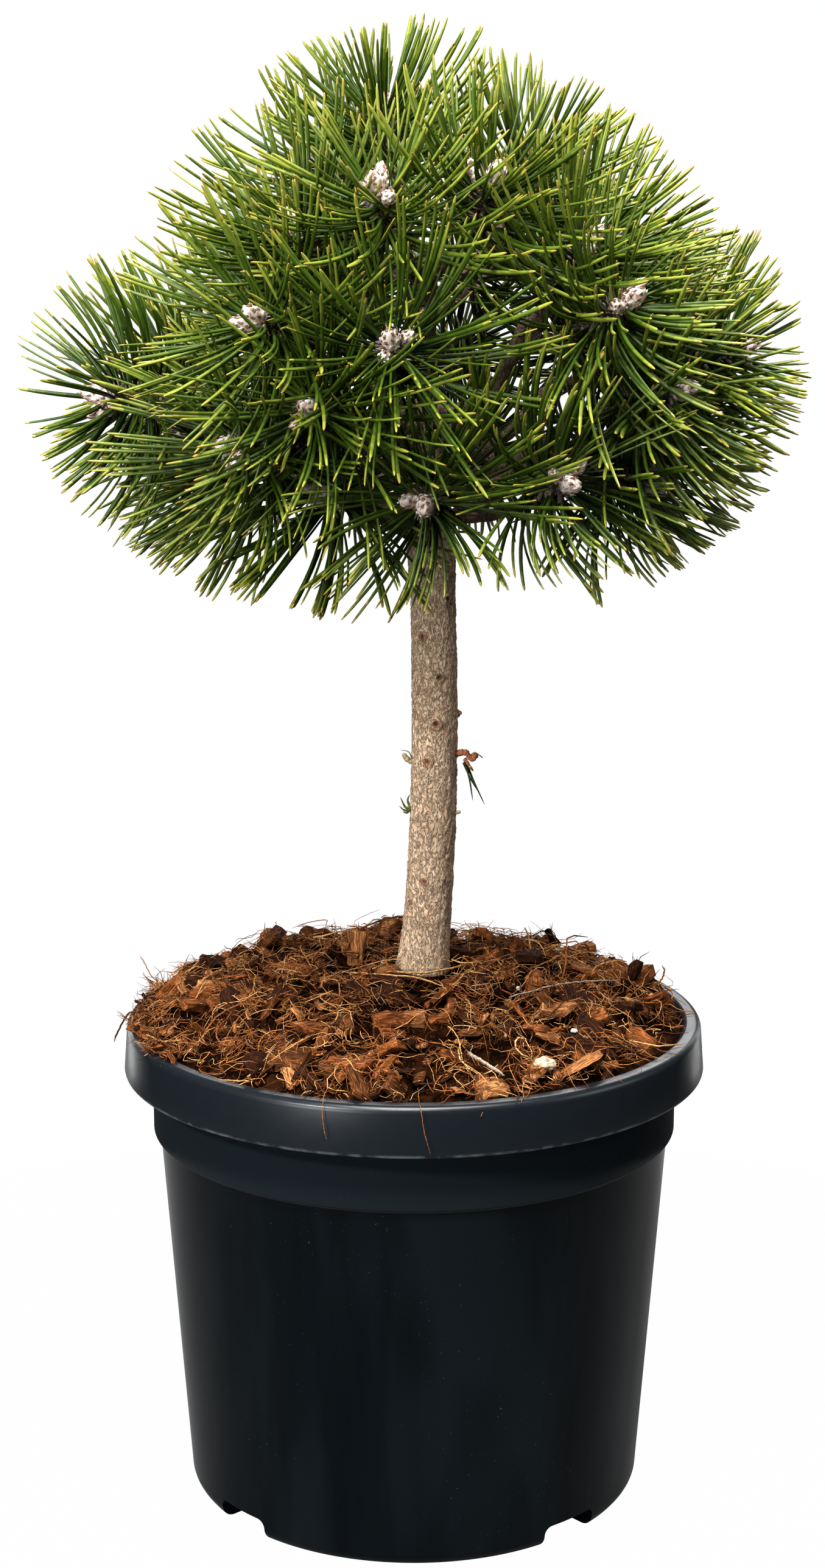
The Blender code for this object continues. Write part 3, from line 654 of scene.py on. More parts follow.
def scattered(draw, count, reach, pits=PIT_SHARE):
    """Places spread over the round mouth of the pot, fewer in the hollows, and none under the stem."""
    places = []
    while len(places) < count:
        radius = reach * math.sqrt(draw.random())
        turn = draw.uniform(0.0, math.tau)
        place = (radius * math.cos(turn), radius * math.sin(turn))
        by_stem = math.hypot(place[0] - TRUNK_FOOT.x, place[1] - TRUNK_FOOT.y) < TRUNK_FOOT_RADIUS * 1.35
        in_pit = pit_depth(*place) > 0.35 * PIT_DEPTH
        if not by_stem and (not in_pit or draw.random() < pits):
            places.append(place)
    return np.array(places)


def rear_rise(places):
    """How much higher the coir stands along the back half of the rim."""
    radius = np.hypot(places[:, 0], places[:, 1])
    back = np.clip(places[:, 1] / 0.06 + 0.35, 0.0, 1.0)
    turn = np.arctan2(places[:, 0], places[:, 1])
    lumps = 0.75 + 0.35 * np.sin(turn * 9.0 + 1.0) + 0.35 * np.sin(turn * 17.0 + 2.6)
    return 0.0052 * lumps * back * np.clip((radius - 0.070) / 0.030, 0.0, 1.0)


def spilled(rng, count):
    """Places on the rim's top where coir spills over it, all on the left."""
    turn = np.radians(rng.uniform(-128.0, -56.0, count))
    radius = rng.uniform(LIP_RADIUS - 0.003, RIM_RADIUS - 0.004, count)
    return np.column_stack([np.sin(turn) * radius, -np.cos(turn) * radius])


def make_chips(materials):
    """Husk chips: short broken blocks of fibre that lie at all angles, half sunk in the bed, each with
    loose fibres along it."""
    draw = random.Random(31)
    rng = np.random.default_rng(31)
    places = np.concatenate([scattered(draw, CHIP_COUNT, LIP_RADIUS - 0.005), spilled(rng, SPILL_COUNT)])
    count = len(places)
    size = rng.uniform(0.0, 1.0, count) ** 2.4
    size[CHIP_COUNT:] *= 0.3
    length = 0.0045 + 0.0150 * size
    width = length * rng.uniform(0.30, 0.72, count)
    height = width * rng.uniform(0.25, 0.60, count)
    heading = rng.uniform(0.0, math.tau, count)
    tilt = rng.normal(0.0, 0.45, count)
    ahead = np.stack([np.cos(heading) * np.cos(tilt), np.sin(heading) * np.cos(tilt), np.sin(tilt)], -1)
    facing = unit(np.stack([rng.normal(0, 0.55, count), rng.normal(0, 0.55, count), np.ones(count)], -1))
    lift = rng.uniform(-0.35, 0.35, count) * height + rear_rise(places) * rng.uniform(0.2, 1.2, count)
    level = coir_heights(places) + lift
    level[CHIP_COUNT:] = POT_HEIGHT + rng.uniform(0.0, 0.0022, SPILL_COUNT)
    middle = np.column_stack([places, level])
    steps = np.array([-0.5, -0.44, -0.16, 0.17, 0.45, 0.5])
    routes = middle[:, None, :] + ahead[:, None, :] * (length[:, None] * steps)[..., None]
    bow = facing[:, None, :] * (length[:, None] * (0.06 * (1 - (2 * steps) ** 2)))[..., None]
    routes = routes + bow * rng.uniform(-1.0, 1.0, (count, 1, 1))
    taper = np.array([0.72, 0.98, 1.02, 1.0, 0.95, 0.66])
    widths = width[:, None] * taper * rng.uniform(0.80, 1.15, (count, len(steps)))
    heights = height[:, None] * taper * rng.uniform(0.80, 1.15, (count, len(steps)))
    section = [(-0.5, -0.42), (0.46, -0.5), (0.52, 0.1), (0.42, 0.48), (-0.1, 0.56), (-0.46, 0.40)]
    kinds = rng.integers(0, len(materials), (count, 1))
    slots = np.repeat(kinds, len(steps) - 1, axis=1)
    mesh = strand_mesh("coir_chips", strands(routes, widths, heights, section, facing, slots))
    grain = strand_grain(widths, heights, section, length[:, None] * steps, rng)
    mesh.attributes.new("grain", "FLOAT_VECTOR", "POINT").data.foreach_set("vector", grain)
    jitter_points(mesh, 0.0011, 0.0015, rng)
    mesh.set_sharp_from_angle(angle=math.radians(38.0))
    add_piece("coir_chips", mesh, "coir", materials)
    chosen = np.repeat(np.arange(count), CHIP_FIBRES)
    total = len(chosen)
    side = np.cross(facing, ahead)
    start = middle[chosen] + side[chosen] * (width[chosen] * rng.uniform(-0.5, 0.5, total))[:, None]
    start = start + facing[chosen] * (height[chosen] * rng.uniform(0.15, 0.62, total))[:, None]
    start = start + ahead[chosen] * (length[chosen] * rng.uniform(-0.60, 0.35, total))[:, None]
    aim = unit(ahead[chosen] * rng.choice([-1.0, 1.0], (total, 1)) + rng.normal(0.0, 0.16, (total, 3)))
    reach = length[chosen] * rng.uniform(0.22, 0.70, total)
    return fibre_routes(start, aim, reach, 0.12, rng)


def strand_grain(widths, heights, section, along, rng):
    """For each point of many strands, where it lies across, up and along its strand, shifted at random."""
    shape = np.array(section)
    across = widths[:, :, None] * shape[:, 0]
    upward = heights[:, :, None] * shape[:, 1]
    length = np.broadcast_to(along[:, :, None], across.shape)
    places = np.stack([across, upward, length], axis=-1) + rng.uniform(0.0, 1.0, (len(widths), 1, 1, 3))
    return places.astype(np.float32).ravel()


def jitter_points(mesh, amount, size, rng):
    """Roughens a mesh by moving each of its points a little, the same way for points that are close."""
    count = len(mesh.vertices)
    places = np.empty(count * 3, np.float32)
    mesh.vertices.foreach_get("co", places)
    places = places.reshape(-1, 3)
    shift = rng.uniform(0.0, 9.0)
    for number in range(count):
        point = Vector(places[number].tolist()) / size + Vector((shift, shift, shift))
        places[number] += np.array(noise.noise_vector(point)) * amount
    mesh.vertices.foreach_set("co", places.ravel())
    mesh.update()


def fibre_routes(start, aim, reach, curl, rng):
    """Short fibres of four points that start in one direction and curl a little."""
    count = len(start)
    turned = unit(aim + rng.normal(0.0, curl, (count, 3)) * 2.0)
    further = unit(turned + rng.normal(0.0, curl, (count, 3)) * 2.0)
    stride = (reach / 3)[:, None]
    second = start + aim * stride
    third = second + turned * stride
    return np.stack([start, second, third, third + further * stride], axis=1)


def tuft_routes(rng, count):
    """Tufts of short fibres that stand out of the bed in about one direction."""
    places = scattered(random.Random(37), count - SPILL_COUNT, LIP_RADIUS - 0.002)
    level = coir_heights(places) + rear_rise(places) * rng.uniform(0.0, 1.0, len(places))
    places = np.concatenate([places, spilled(rng, SPILL_COUNT)])
    level = np.concatenate([level, np.full(SPILL_COUNT, POT_HEIGHT + 0.0010)])
    base = np.repeat(np.column_stack([places, level]), TUFT_FIBRES, axis=0)
    total = len(base)
    heading = np.repeat(rng.uniform(0.0, math.tau, count), TUFT_FIBRES) + rng.normal(0.0, 0.45, total)
    flatter = np.where(places[:, 1] > 0.01, 0.35, 1.0)
    pitch = np.repeat(rng.uniform(-0.05, 0.75, count) * flatter, TUFT_FIBRES) + rng.normal(0.0, 0.16, total)
    aim = np.stack([np.cos(heading) * np.cos(pitch), np.sin(heading) * np.cos(pitch), np.sin(pitch)], -1)
    start = base + rng.normal(0.0, 0.0016, (total, 3)) * np.array([1.0, 1.0, 0.35])
    reach = np.repeat(rng.uniform(0.0035, 0.0105, count), TUFT_FIBRES) * rng.uniform(0.6, 1.3, total)
    return fibre_routes(start, aim, reach, 0.22, rng)


def lying_routes(rng, places, lengths, steps, curl, lift):
    """Routes of fibres that wander over the coir's surface with a random curl."""
    count = len(places)
    heading = rng.uniform(0.0, math.tau, count)
    bend = rng.normal(0.0, curl, count)
    wave = rng.normal(0.0, curl * 0.6, count)
    share = np.linspace(-0.5, 0.5, steps)
    angle = heading[:, None] + bend[:, None] * share + wave[:, None] * np.sin(share * 7.0)
    stride = lengths[:, None] / (steps - 1)
    x = np.cumsum(np.cos(angle) * stride, axis=1)
    y = np.cumsum(np.sin(angle) * stride, axis=1)
    x += (places[:, 0] - x[:, steps // 2])[:, None]
    y += (places[:, 1] - y[:, steps // 2])[:, None]
    ground = coir_heights(np.column_stack([x.ravel(), y.ravel()])).reshape(count, steps)
    slope = rng.normal(0.0, 0.22, count)[:, None] * share * lengths[:, None]
    arch = (1.0 - (2.0 * share) ** 2) * rng.uniform(-0.05, 0.16, count)[:, None] * lengths[:, None]
    z = ground + lift[:, None] + slope + arch
    z = np.where(np.hypot(x, y) > LIP_RADIUS - 0.004, np.maximum(z, POT_HEIGHT + 0.0006), z)
    return np.stack([x, y, z], axis=-1)


def fibre_strands(routes, radius, taper, kinds):
    """Fibres as closed strands with three sides, each in one of the kinds of tan or brown."""
    count, steps, _ = routes.shape
    facing = np.tile(np.array([0.1, 0.2, 1.0]), (count, 1))
    widths = radius[:, None] * np.array(taper)
    return strands(routes, widths, widths, round_section(3), facing, np.repeat(kinds[:, None], steps - 1, axis=1))


def long_fibres(seed, count, reach, length_range, radius_range, curl, kinds):
    draw = random.Random(seed)
    rng = np.random.default_rng(seed)
    places = scattered(draw, count, reach)
    lengths = rng.uniform(*length_range, count)
    lift = rng.uniform(0.0002, 0.0040, count) + rear_rise(places) * rng.uniform(0.0, 1.0, count)
    routes = lying_routes(rng, places, lengths, 8, curl, lift)
    taper = (0.45, 0.9, 1.0, 1.05, 1.0, 0.95, 0.8, 0.35)
    return fibre_strands(routes, rng.uniform(*radius_range, count), taper, rng.integers(0, kinds, count))


def smooth_route(points, count=24):
    """Places along a smooth curve that runs through a few points."""
    knots = np.array(points)
    stops = np.arange(len(knots))
    fine = np.linspace(0.0, len(knots) - 1.0, count)
    slopes = np.gradient(knots, axis=0)
    low = np.minimum(fine.astype(int), len(knots) - 2)
    t = (fine - stops[low])[:, None]
    near, far = knots[low], knots[low + 1]
    return (
        (2 * t ** 3 - 3 * t ** 2 + 1) * near + (t ** 3 - 2 * t ** 2 + t) * slopes[low]
        + (3 * t ** 2 - 2 * t ** 3) * far + (t ** 3 - t ** 2) * slopes[low + 1]
    )


def over_rim(heading, drop, swing):
    """A fibre that comes out of the coir, lies over the rim and hangs down outside it by a drop."""
    stops = [(0.1040, 0.2030), (0.1110, 0.2036), (0.1160, 0.2018), (0.1196, 0.1985), (0.1207, 0.1950 - drop * 0.4)]
    stops.append((0.1209, 0.1950 - drop))
    points = []
    for number, (radius, height) in enumerate(stops):
        turn = math.radians(heading + swing * (number / 5) ** 3)
        points.append((math.sin(turn) * radius, -math.cos(turn) * radius, height))
    return smooth_route(points)


# Single roots and fibres that stand out, each with its radius, its kind and its points
SINGLE_FIBRES = (
    (0.00050, 0, ((-0.0130, 0.0240, 0.2172), (-0.0086, 0.0035, 0.2176), (0.0040, -0.0005, 0.2180),
                  (0.0160, 0.0060, 0.2182), (0.0300, 0.0190, 0.2176))),
    (0.00080, 4, ((0.0205, -0.0890, 0.2120), (0.0270, -0.0930, 0.2092), (0.0343, -0.0975, 0.2056))),
    (0.00042, 0, ((-0.0300, -0.0020, 0.2190), (-0.0150, -0.0050, 0.2185), (0.0000, -0.0110, 0.2190),
                  (0.0120, -0.0220, 0.2184))),
    (0.00048, 4, ((0.0380, -0.0360, 0.2180), (0.0600, -0.0190, 0.2185), (0.0850, -0.0010, 0.2150))),
    (0.00070, 2, ((-0.0590, -0.0900, 0.2030), (-0.0440, -0.0760, 0.2110), (-0.0260, -0.0560, 0.2165))),
    (0.00035, 0, ((-0.0640, -0.0880, 0.2020), (-0.0430, -0.0740, 0.2125), (-0.0300, -0.0560, 0.2150))),
    (0.00026, 1, ((-0.1060, 0.0330, 0.2020), (-0.1110, 0.0310, 0.2070), (-0.1140, 0.0300, 0.2130),
                  (-0.1160, 0.0300, 0.2165))),
    (0.00045, 2, ((-0.1080, -0.0060, 0.2030), (-0.1165, -0.0080, 0.2030), (-0.1212, -0.0090, 0.1965),
                  (-0.1235, -0.0080, 0.1905))),
    (0.00038, 0, ((-0.1075, -0.0350, 0.2022), (-0.1000, -0.0440, 0.2022), (-0.0910, -0.0510, 0.2050))),
    (0.00040, 0, ((0.0850, -0.0550, 0.2060), (0.0960, -0.0545, 0.2036), (0.1050, -0.0470, 0.2018))),
    (0.00045, 3, ((0.0980, 0.0210, 0.2050), (0.1030, 0.0190, 0.2080), (0.1050, 0.0190, 0.2120),
                  (0.1045, 0.0200, 0.2150))),
    (0.00030, 0, ((0.1010, -0.0040, 0.2030), (0.1050, -0.0050, 0.2060), (0.1065, -0.0060, 0.2100))),
)
OVER_RIM = ((-17.0, 0.0090, 1.5), (0.8, 0.0130, 2.2))


def single_fibres(rng):
    routes = [smooth_route(points) for _, _, points in SINGLE_FIBRES]
    routes += [over_rim(*values) for values in OVER_RIM]
    radius = np.array([radius for radius, _, _ in SINGLE_FIBRES] + [0.00013] * len(OVER_RIM))
    kinds = np.array([kind for _, kind, _ in SINGLE_FIBRES] + [1] * len(OVER_RIM))
    routes = np.array(routes)
    routes[:, 1:-1] += rng.normal(0.0, 0.00010, routes[:, 1:-1].shape)
    taper = np.concatenate([[0.5], np.ones(18), np.linspace(1.0, 0.35, 5)])
    return fibre_strands(routes, radius, taper, kinds)


def make_stone(name, place, size, material, seed):
    """A small rounded stone or grain, dented by noise."""
    shape = bmesh.new()
    bmesh.ops.create_icosphere(shape, subdivisions=4, radius=1.0)
    for vert in shape.verts:
        dent = noise.fractal(vert.co * 1.6 + Vector((seed, 0.0, 0.0)), 0.7, 2.0, 4)
        vert.co = Vector(place) + Vector([way * part * (1.0 + 0.22 * dent) for way, part in zip(vert.co, size)])
    mesh = bpy.data.meshes.new(name)
    shape.to_mesh(mesh)
    shape.free()
    mesh.shade_smooth()
    add_piece(name, mesh, "coir", [material])


def make_coir():
    make_coir_bed()
    chips = [
        fibrous("husk_dark", (0.028, 0.008, 0.0025), (0.080, 0.025, 0.008)),
        fibrous("husk_red", (0.185, 0.052, 0.012), (0.46, 0.165, 0.047)),
        fibrous("husk_brown", (0.090, 0.029, 0.008), (0.29, 0.105, 0.034)),
        fibrous("husk_tan", (0.310, 0.115, 0.036), (0.68, 0.330, 0.130)),
    ]
    chip_hair = make_chips(chips)
    tans = [
        grained("fibre_gold", (0.60, 0.31, 0.11), (0.76, 0.46, 0.20), 900.0, 0.7),
        grained("fibre_orange", (0.36, 0.125, 0.032), (0.50, 0.21, 0.068), 900.0, 0.7),
        grained("fibre_brown", (0.060, 0.020, 0.006), (0.13, 0.046, 0.014), 900.0, 0.8),
        grained("fibre_rust", (0.22, 0.068, 0.018), (0.34, 0.13, 0.040), 900.0, 0.8),
        grained("fibre_grey", (0.34, 0.26, 0.19), (0.56, 0.47, 0.37), 900.0, 0.8),
    ]
    rng = np.random.default_rng(47)
    short = np.concatenate([chip_hair, tuft_routes(rng, TUFT_COUNT)])
    radius = rng.uniform(0.00009, 0.00024, len(short))
    kinds = rng.choice(5, len(short), p=(0.10, 0.26, 0.36, 0.26, 0.02))
    hair = fibre_strands(short, radius, (0.8, 1.0, 0.85, 0.3), kinds)
    lying = long_fibres(41, FIBRE_COUNT, LIP_RADIUS - 0.001, (0.008, 0.028), (0.00010, 0.00024), 1.7, 4)
    roots = long_fibres(43, ROOT_COUNT, LIP_RADIUS - 0.012, (0.025, 0.052), (0.00030, 0.00055), 1.3, 4)
    add_piece("coir_hair", strand_mesh("coir_hair", hair), "coir", tans)
    add_piece("coir_fibres", strand_mesh("coir_fibres", lying, roots, single_fibres(rng)), "coir", tans)
    pale = grained("stone_pale", (0.50, 0.40, 0.27), (0.80, 0.74, 0.62), 420.0, 0.7)
    white = grained("perlite", (0.62, 0.58, 0.52), (0.85, 0.83, 0.79), 900.0, 0.8)
    make_stone("pebble", (0.0498, -0.0875, 0.2068), (0.0043, 0.0032, 0.0027), pale, 1.0)
    make_stone("perlite_front", (0.0626, -0.0620, 0.2122), (0.0013, 0.0012, 0.0009), white, 2.0)
    make_stone("perlite_side", (0.0423, -0.0193, 0.2168), (0.0009, 0.0008, 0.0008), white, 3.0)
    make_stone("perlite_left", (-0.0130, 0.0180, 0.2172), (0.0009, 0.0008, 0.0007), white, 4.0)


# Trunk and boughs

def trunk_centre(height):
    """The trunk's axis at a height, on one smooth curve through its foot, middle, head and tip."""
    knots = (TRUNK_FOOT, TRUNK_MIDDLE, TRUNK_HEAD, TRUNK_TIP)
    centre = Vector((0.0, 0.0, height))
    for knot in knots:
        weight = 1.0
        for other in knots:
            if other is not knot:
                weight *= (height - other.z) / (knot.z - other.z)
        centre.x += weight * knot.x
        centre.y += weight * knot.y
    return centre


def trunk_radius(height):
    """The trunk's radius at a height: root flare, slow taper, swelling at the graft, then the leader."""
    flare = TRUNK_FLARE * math.exp(-(height - TRUNK_FOOT.z) / TRUNK_FLARE_HEIGHT)
    swell = GRAFT_SWELL * math.exp(-(((height - TRUNK_HEAD.z) / GRAFT_LENGTH) ** 2))
    if height < TRUNK_HEAD.z:
        share = (height - TRUNK_FOOT.z) / (TRUNK_HEAD.z - TRUNK_FOOT.z)
        plain = TRUNK_FOOT_RADIUS + (TRUNK_HEAD_RADIUS - TRUNK_FOOT_RADIUS) * share
    else:
        share = (height - TRUNK_HEAD.z) / (TRUNK_TIP.z - TRUNK_HEAD.z)
        plain = TRUNK_HEAD_RADIUS + (TRUNK_TIP_RADIUS - TRUNK_HEAD_RADIUS) * share
    return plain + flare + swell


def scar_at(place, scars):
    """How deep in a scar a point of the stem lies, from 0 outside to 1 in the middle."""
    return max([0.0, *(1.0 - (place - centre).length / size for centre, size in scars)])


def limb_mesh(name, centres, radii, sides, relief, relief_size, scars=()):
    """A closed limb: a ring drawn out into a tube, whose points are then laid round the limb's route
    and raised by the bark's relief. Each scar is a low ring with a hollow in it."""
    steps = len(centres) - 1
    shape = bmesh.new()
    ring = bmesh.ops.create_circle(shape, cap_ends=False, segments=sides, radius=1.0)["verts"]
    edges = list({edge for vert in ring for edge in vert.link_edges})
    bmesh.ops.spin(shape, geom=[*ring, *edges], axis=(0, 0, 1), dvec=(0, 0, 1.0), angle=0.0, steps=steps)
    bmesh.ops.holes_fill(shape, edges=[edge for edge in shape.edges if edge.is_boundary], sides=0)
    bmesh.ops.recalc_face_normals(shape, faces=shape.faces)
    ahead = [(far - near).normalized() for near, far in zip(centres, centres[1:])]
    ahead.append(ahead[-1])
    for vert in shape.verts:
        step = round(vert.co.z)
        side = ahead[step].cross(Vector((0.31, 0.95, 0.02))).normalized()
        other = ahead[step].cross(side)
        outward = side * vert.co.x + other * vert.co.y
        place = centres[step] + outward * radii[step]
        upward = Vector((place.x, place.y, place.z * 0.42)) / relief_size
        rough = noise.fractal(upward, 0.75, 2.1, 4) + 0.5 * noise.noise(place / (relief_size * 5.0))
        ring_height = 0.0011 * math.sin(math.pi * min(1.0, 1.6 * scar_at(place, scars))) if scars else 0.0
        vert.co = place + outward * ((rough - 0.35) * relief + ring_height)
    mesh = bpy.data.meshes.new(name)
    shape.to_mesh(mesh)
    shape.free()
    mesh.shade_smooth()
    if scars:
        depth = [scar_at(vert.co, scars) for vert in mesh.vertices]
        mesh.attributes.new("scar", "FLOAT", "POINT").data.foreach_set("value", depth)
    return mesh


# Scars of lost twigs on the stem: height, heading and radius
STEM_SCARS = (
    (0.3226, 4, 0.0027), (0.3068, -19, 0.0028), (0.2560, -17, 0.0023), (0.2462, -47, 0.0020),
    (0.3255, 78, 0.0020), (0.3420, 12, 0.0022), (0.3585, -30, 0.0023), (0.3010, 150, 0.0026),
    (0.2740, 120, 0.0024), (0.3320, -120, 0.0026), (0.2660, -150, 0.0023), (0.3740, 40, 0.0022),
)
# Small shoots on the stem: height, heading, kind, radii at foot and tip, and the offsets they run through
STEM_SHOOTS = (
    (0.3052, -84, 1, (0.0012, 0.0010), ((0.0, 0.0, 0.0), (-0.0018, -0.0004, 0.0014), (-0.0034, -0.0006, 0.0036))),
    (0.3070, -80, 2, (0.0003, 0.0001), ((0.0, 0.0, 0.0), (-0.0012, -0.0006, 0.0026), (-0.0046, -0.0004, 0.0034))),
    (0.2855, -86, 2, (0.0008, 0.0002), ((0.0, 0.0, 0.0), (-0.0020, 0.0, 0.0004), (-0.0040, -0.0004, 0.0046))),
    (0.2850, -78, 2, (0.0007, 0.0002), ((0.0, 0.0, 0.0), (-0.0024, -0.0010, 0.0), (-0.0046, -0.0008, 0.0018))),
    (0.2860, -92, 2, (0.0007, 0.0002), ((0.0, 0.0, 0.0), (-0.0010, 0.0, 0.0024), (-0.0002, -0.0004, 0.0050))),
    (0.2850, -84, 2, (0.0006, 0.0002), ((0.0, 0.0, 0.0), (-0.0014, 0.0004, -0.0016), (-0.0030, 0.0, -0.0010))),
    (0.3090, 76, 0, (0.0015, 0.0012), ((0.0, 0.0, 0.0), (0.0026, -0.0008, 0.0006), (0.0050, -0.0012, 0.0002))),
    (0.3085, 78, 0, (0.0011, 0.0014), ((0.0042, -0.0012, 0.0), (0.0062, -0.0014, -0.0016), (0.0078, -0.0010, 0.0010))),
    (0.3080, 78, 0, (0.0005, 0.0002), ((0.0055, -0.0010, 0.0004), (0.0080, -0.0014, 0.0010), (0.0106, -0.0012, -0.0008))),
    (0.3070, 80, 0, (0.0008, 0.0004), ((0.0030, -0.0010, 0.0), (0.0050, -0.0020, -0.0030), (0.0066, -0.0016, -0.0052))),
    (0.3060, 82, 3, (0.0006, 0.0002), ((0.0030, 0.0, 0.0), (0.0050, 0.0010, -0.0080), (0.0064, 0.0006, -0.0170))),
    (0.3060, 86, 3, (0.0006, 0.0002), ((0.0032, 0.0, 0.0), (0.0066, 0.0014, -0.0090), (0.0112, 0.0014, -0.0190))),
    (0.3050, 78, 3, (0.0005, 0.0002), ((0.0026, 0.0, 0.0), (0.0056, -0.0006, -0.0066), (0.0090, -0.0002, -0.0124))),
    (0.2838, 74, 1, (0.0009, 0.0006), ((-0.0004, 0.0, 0.0), (0.0010, -0.0004, 0.0004), (0.0021, -0.0006, 0.0006))),
    (0.3255, 78, 0, (0.0010, 0.0007), ((-0.0004, 0.0, 0.0), (0.0008, -0.0004, 0.0004), (0.0018, -0.0006, 0.0008))),
)


def stem_place(height, heading):
    return trunk_centre(height) + flat_direction(heading) * trunk_radius(height)


def make_stem_shoots():
    """The dried buds, stubs and small tufts on the clear stem."""
    rng = np.random.default_rng(53)
    routes, widths, kinds = [], [], []
    for height, heading, kind, radii, offsets in STEM_SHOOTS:
        foot = stem_place(height, heading)
        routes.append(smooth_route([list(foot + Vector(offset)) for offset in offsets], 16))
        rough = 1.0 + rng.normal(0.0, 0.10 if kind < 2 else 0.02, 16)
        widths.append(np.linspace(*radii, 16) * rough * np.concatenate([np.ones(14), [0.8, 0.4]]))
        kinds.append(np.full(15, kind))
    facing = np.tile(np.array([0.1, -1.0, 0.1]), (len(routes), 1))
    widths = np.array(widths)
    mesh = strand_mesh(
        "stem_shoots", strands(np.array(routes), widths, widths, round_section(9), facing, np.array(kinds))
    )
    stuff = [
        grained("shoot_red", (0.30, 0.105, 0.050), (0.52, 0.25, 0.13), 900.0),
        grained("shoot_tan", (0.46, 0.36, 0.19), (0.68, 0.58, 0.38), 900.0),
        grained("shoot_green", (0.11, 0.13, 0.035), (0.25, 0.26, 0.08), 900.0, 0.6),
        grained("shoot_dark", (0.030, 0.050, 0.012), (0.07, 0.09, 0.02), 900.0, 0.6),
    ]
    add_piece("stem_shoots", mesh, "bark", stuff)


def make_trunk(material):
    span = TRUNK_TIP.z - TRUNK_FOOT.z
    steps = 420
    heights = [TRUNK_FOOT.z + span * step / steps for step in range(steps + 1)]
    centres = [trunk_centre(height) for height in heights]
    radii = [trunk_radius(height) for height in heights]
    scars = [(stem_place(height, heading), size) for height, heading, size in STEM_SCARS]
    mesh = limb_mesh("bark_trunk", centres, radii, 112, 0.00042, 0.0013, scars)
    add_piece("bark_trunk", mesh, "bark", [material], "trunk")


# Masses of foliage

def flat_direction(heading):
    turn = math.radians(heading)
    return Vector((math.sin(turn), -math.cos(turn), 0.0))


def bezier(points, share):
    """The point at a share of the way along the smooth curve that these control points give."""
    if len(points) == 1:
        return points[0]
    nearer = [first.lerp(second, share) for first, second in zip(points, points[1:])]
    return bezier(nearer, share)


def sampled(points, count):
    return [bezier(points, step / (count - 1)) for step in range(count)]


def bud_place(heading, lift, reach):
    """Where a shoot's bud lies, by its heading and lift from the crown's centre."""
    level = math.cos(math.radians(lift))
    direction = flat_direction(heading) * level + Vector((0.0, 0.0, math.sin(math.radians(lift))))
    return CROWN_CENTRE + Vector([reach * size * part for size, part in zip(CROWN_REACH, direction)])


class Mass:
    """One mass of foliage: the bough that carries it, its stem and its shoots, as smooth routes."""

    def __init__(self, name, bearings, rng):
        self.name = name
        self.buds = []
        for heading, lift, reach in bearings:
            reach *= 1.0 + rng.uniform(-REACH_SPREAD, REACH_SPREAD)
            self.buds.append(bud_place(heading, lift, reach))
        middle = sum(self.buds, Vector()) / len(self.buds)
        if name == TOP_MASS:
            self.bough = []
            start = TRUNK_TIP.copy()
            aim = (TRUNK_TIP - trunk_centre(TRUNK_TIP.z - BUD_LENGTH)).normalized()
        else:
            start, aim = self.grow_bough(middle, bearings)
        fork = start.lerp(middle, (FORK_SHARE - BOUGH_SHARE) / (1.0 - BOUGH_SHARE))
        foot = start + aim * GAP
        square = foot + aim * BOUGH_TIP_RADIUS * 2
        self.stem = [foot, *sampled([square, square.lerp(fork, 0.5), fork], STEM_POINTS - 1)]
        self.shoots = [self.grow_shoot(fork, bud) for bud in self.buds]

    def grow_bough(self, middle, bearings):
        """A bough that leaves the trunk squarely and bends towards the middle of its shoots."""
        lift = sum(pair[1] for pair in bearings) / len(bearings)
        level = trunk_centre(BOUGH_LEVEL + BOUGH_RISE * lift)
        away = (middle - level) * Vector((1.0, 1.0, 0.0))
        away.normalize()
        widest = max(trunk_radius(level.z + side * BOUGH_RADIUS) for side in (-1, 0, 1))
        root = level + away * (widest + GAP)
        end = root.lerp(middle, BOUGH_SHARE)
        square = root + away * BOUGH_RADIUS * 1.5
        knee = root + away * (end - root).length * 0.5
        self.bough = [root, *sampled([square, knee, end], BOUGH_POINTS - 1)]
        return self.bough[-1], (self.bough[-1] - self.bough[-2]).normalized()

    def grow_shoot(self, fork, bud):
        """A shoot that leaves the fork towards its bud and turns up a little at its end."""
        outward = (bud - CROWN_CENTRE).normalized()
        rise = (outward + Vector((0.0, 0.0, SHOOT_RISE))).normalized()
        elbow = bud - rise * (bud - fork).length * 0.55
        return [fork, elbow, bud]


def along_route(route, shares):
    """Points and directions along a smooth route of three control points, for many shares at once."""
    first, middle, last = [np.array(point) for point in route]
    share = shares[:, None]
    points = (1 - share) ** 2 * first + 2 * share * (1 - share) * middle + share ** 2 * last
    ahead = unit(2 * (1 - share) * (middle - first) + 2 * share * (last - middle))
    return points, ahead


def outside_share(points):
    """How far out points lie, where 1 is on the dome that holds the needles' tips."""
    level = np.hypot(points[..., 0] / DOME_REACH[0], points[..., 1] / DOME_REACH[1])
    above = np.maximum(points[..., 2] - DOME_LEVEL, 0.0) / (DOME_TOP - DOME_LEVEL)
    below = np.maximum(DOME_LEVEL - points[..., 2], 0.0) / (DOME_LEVEL - DOME_FOOT)
    domed = level ** DOME_POWERS[0] + above ** DOME_POWERS[1]
    return np.where(below > 0, np.hypot(level, below), domed)


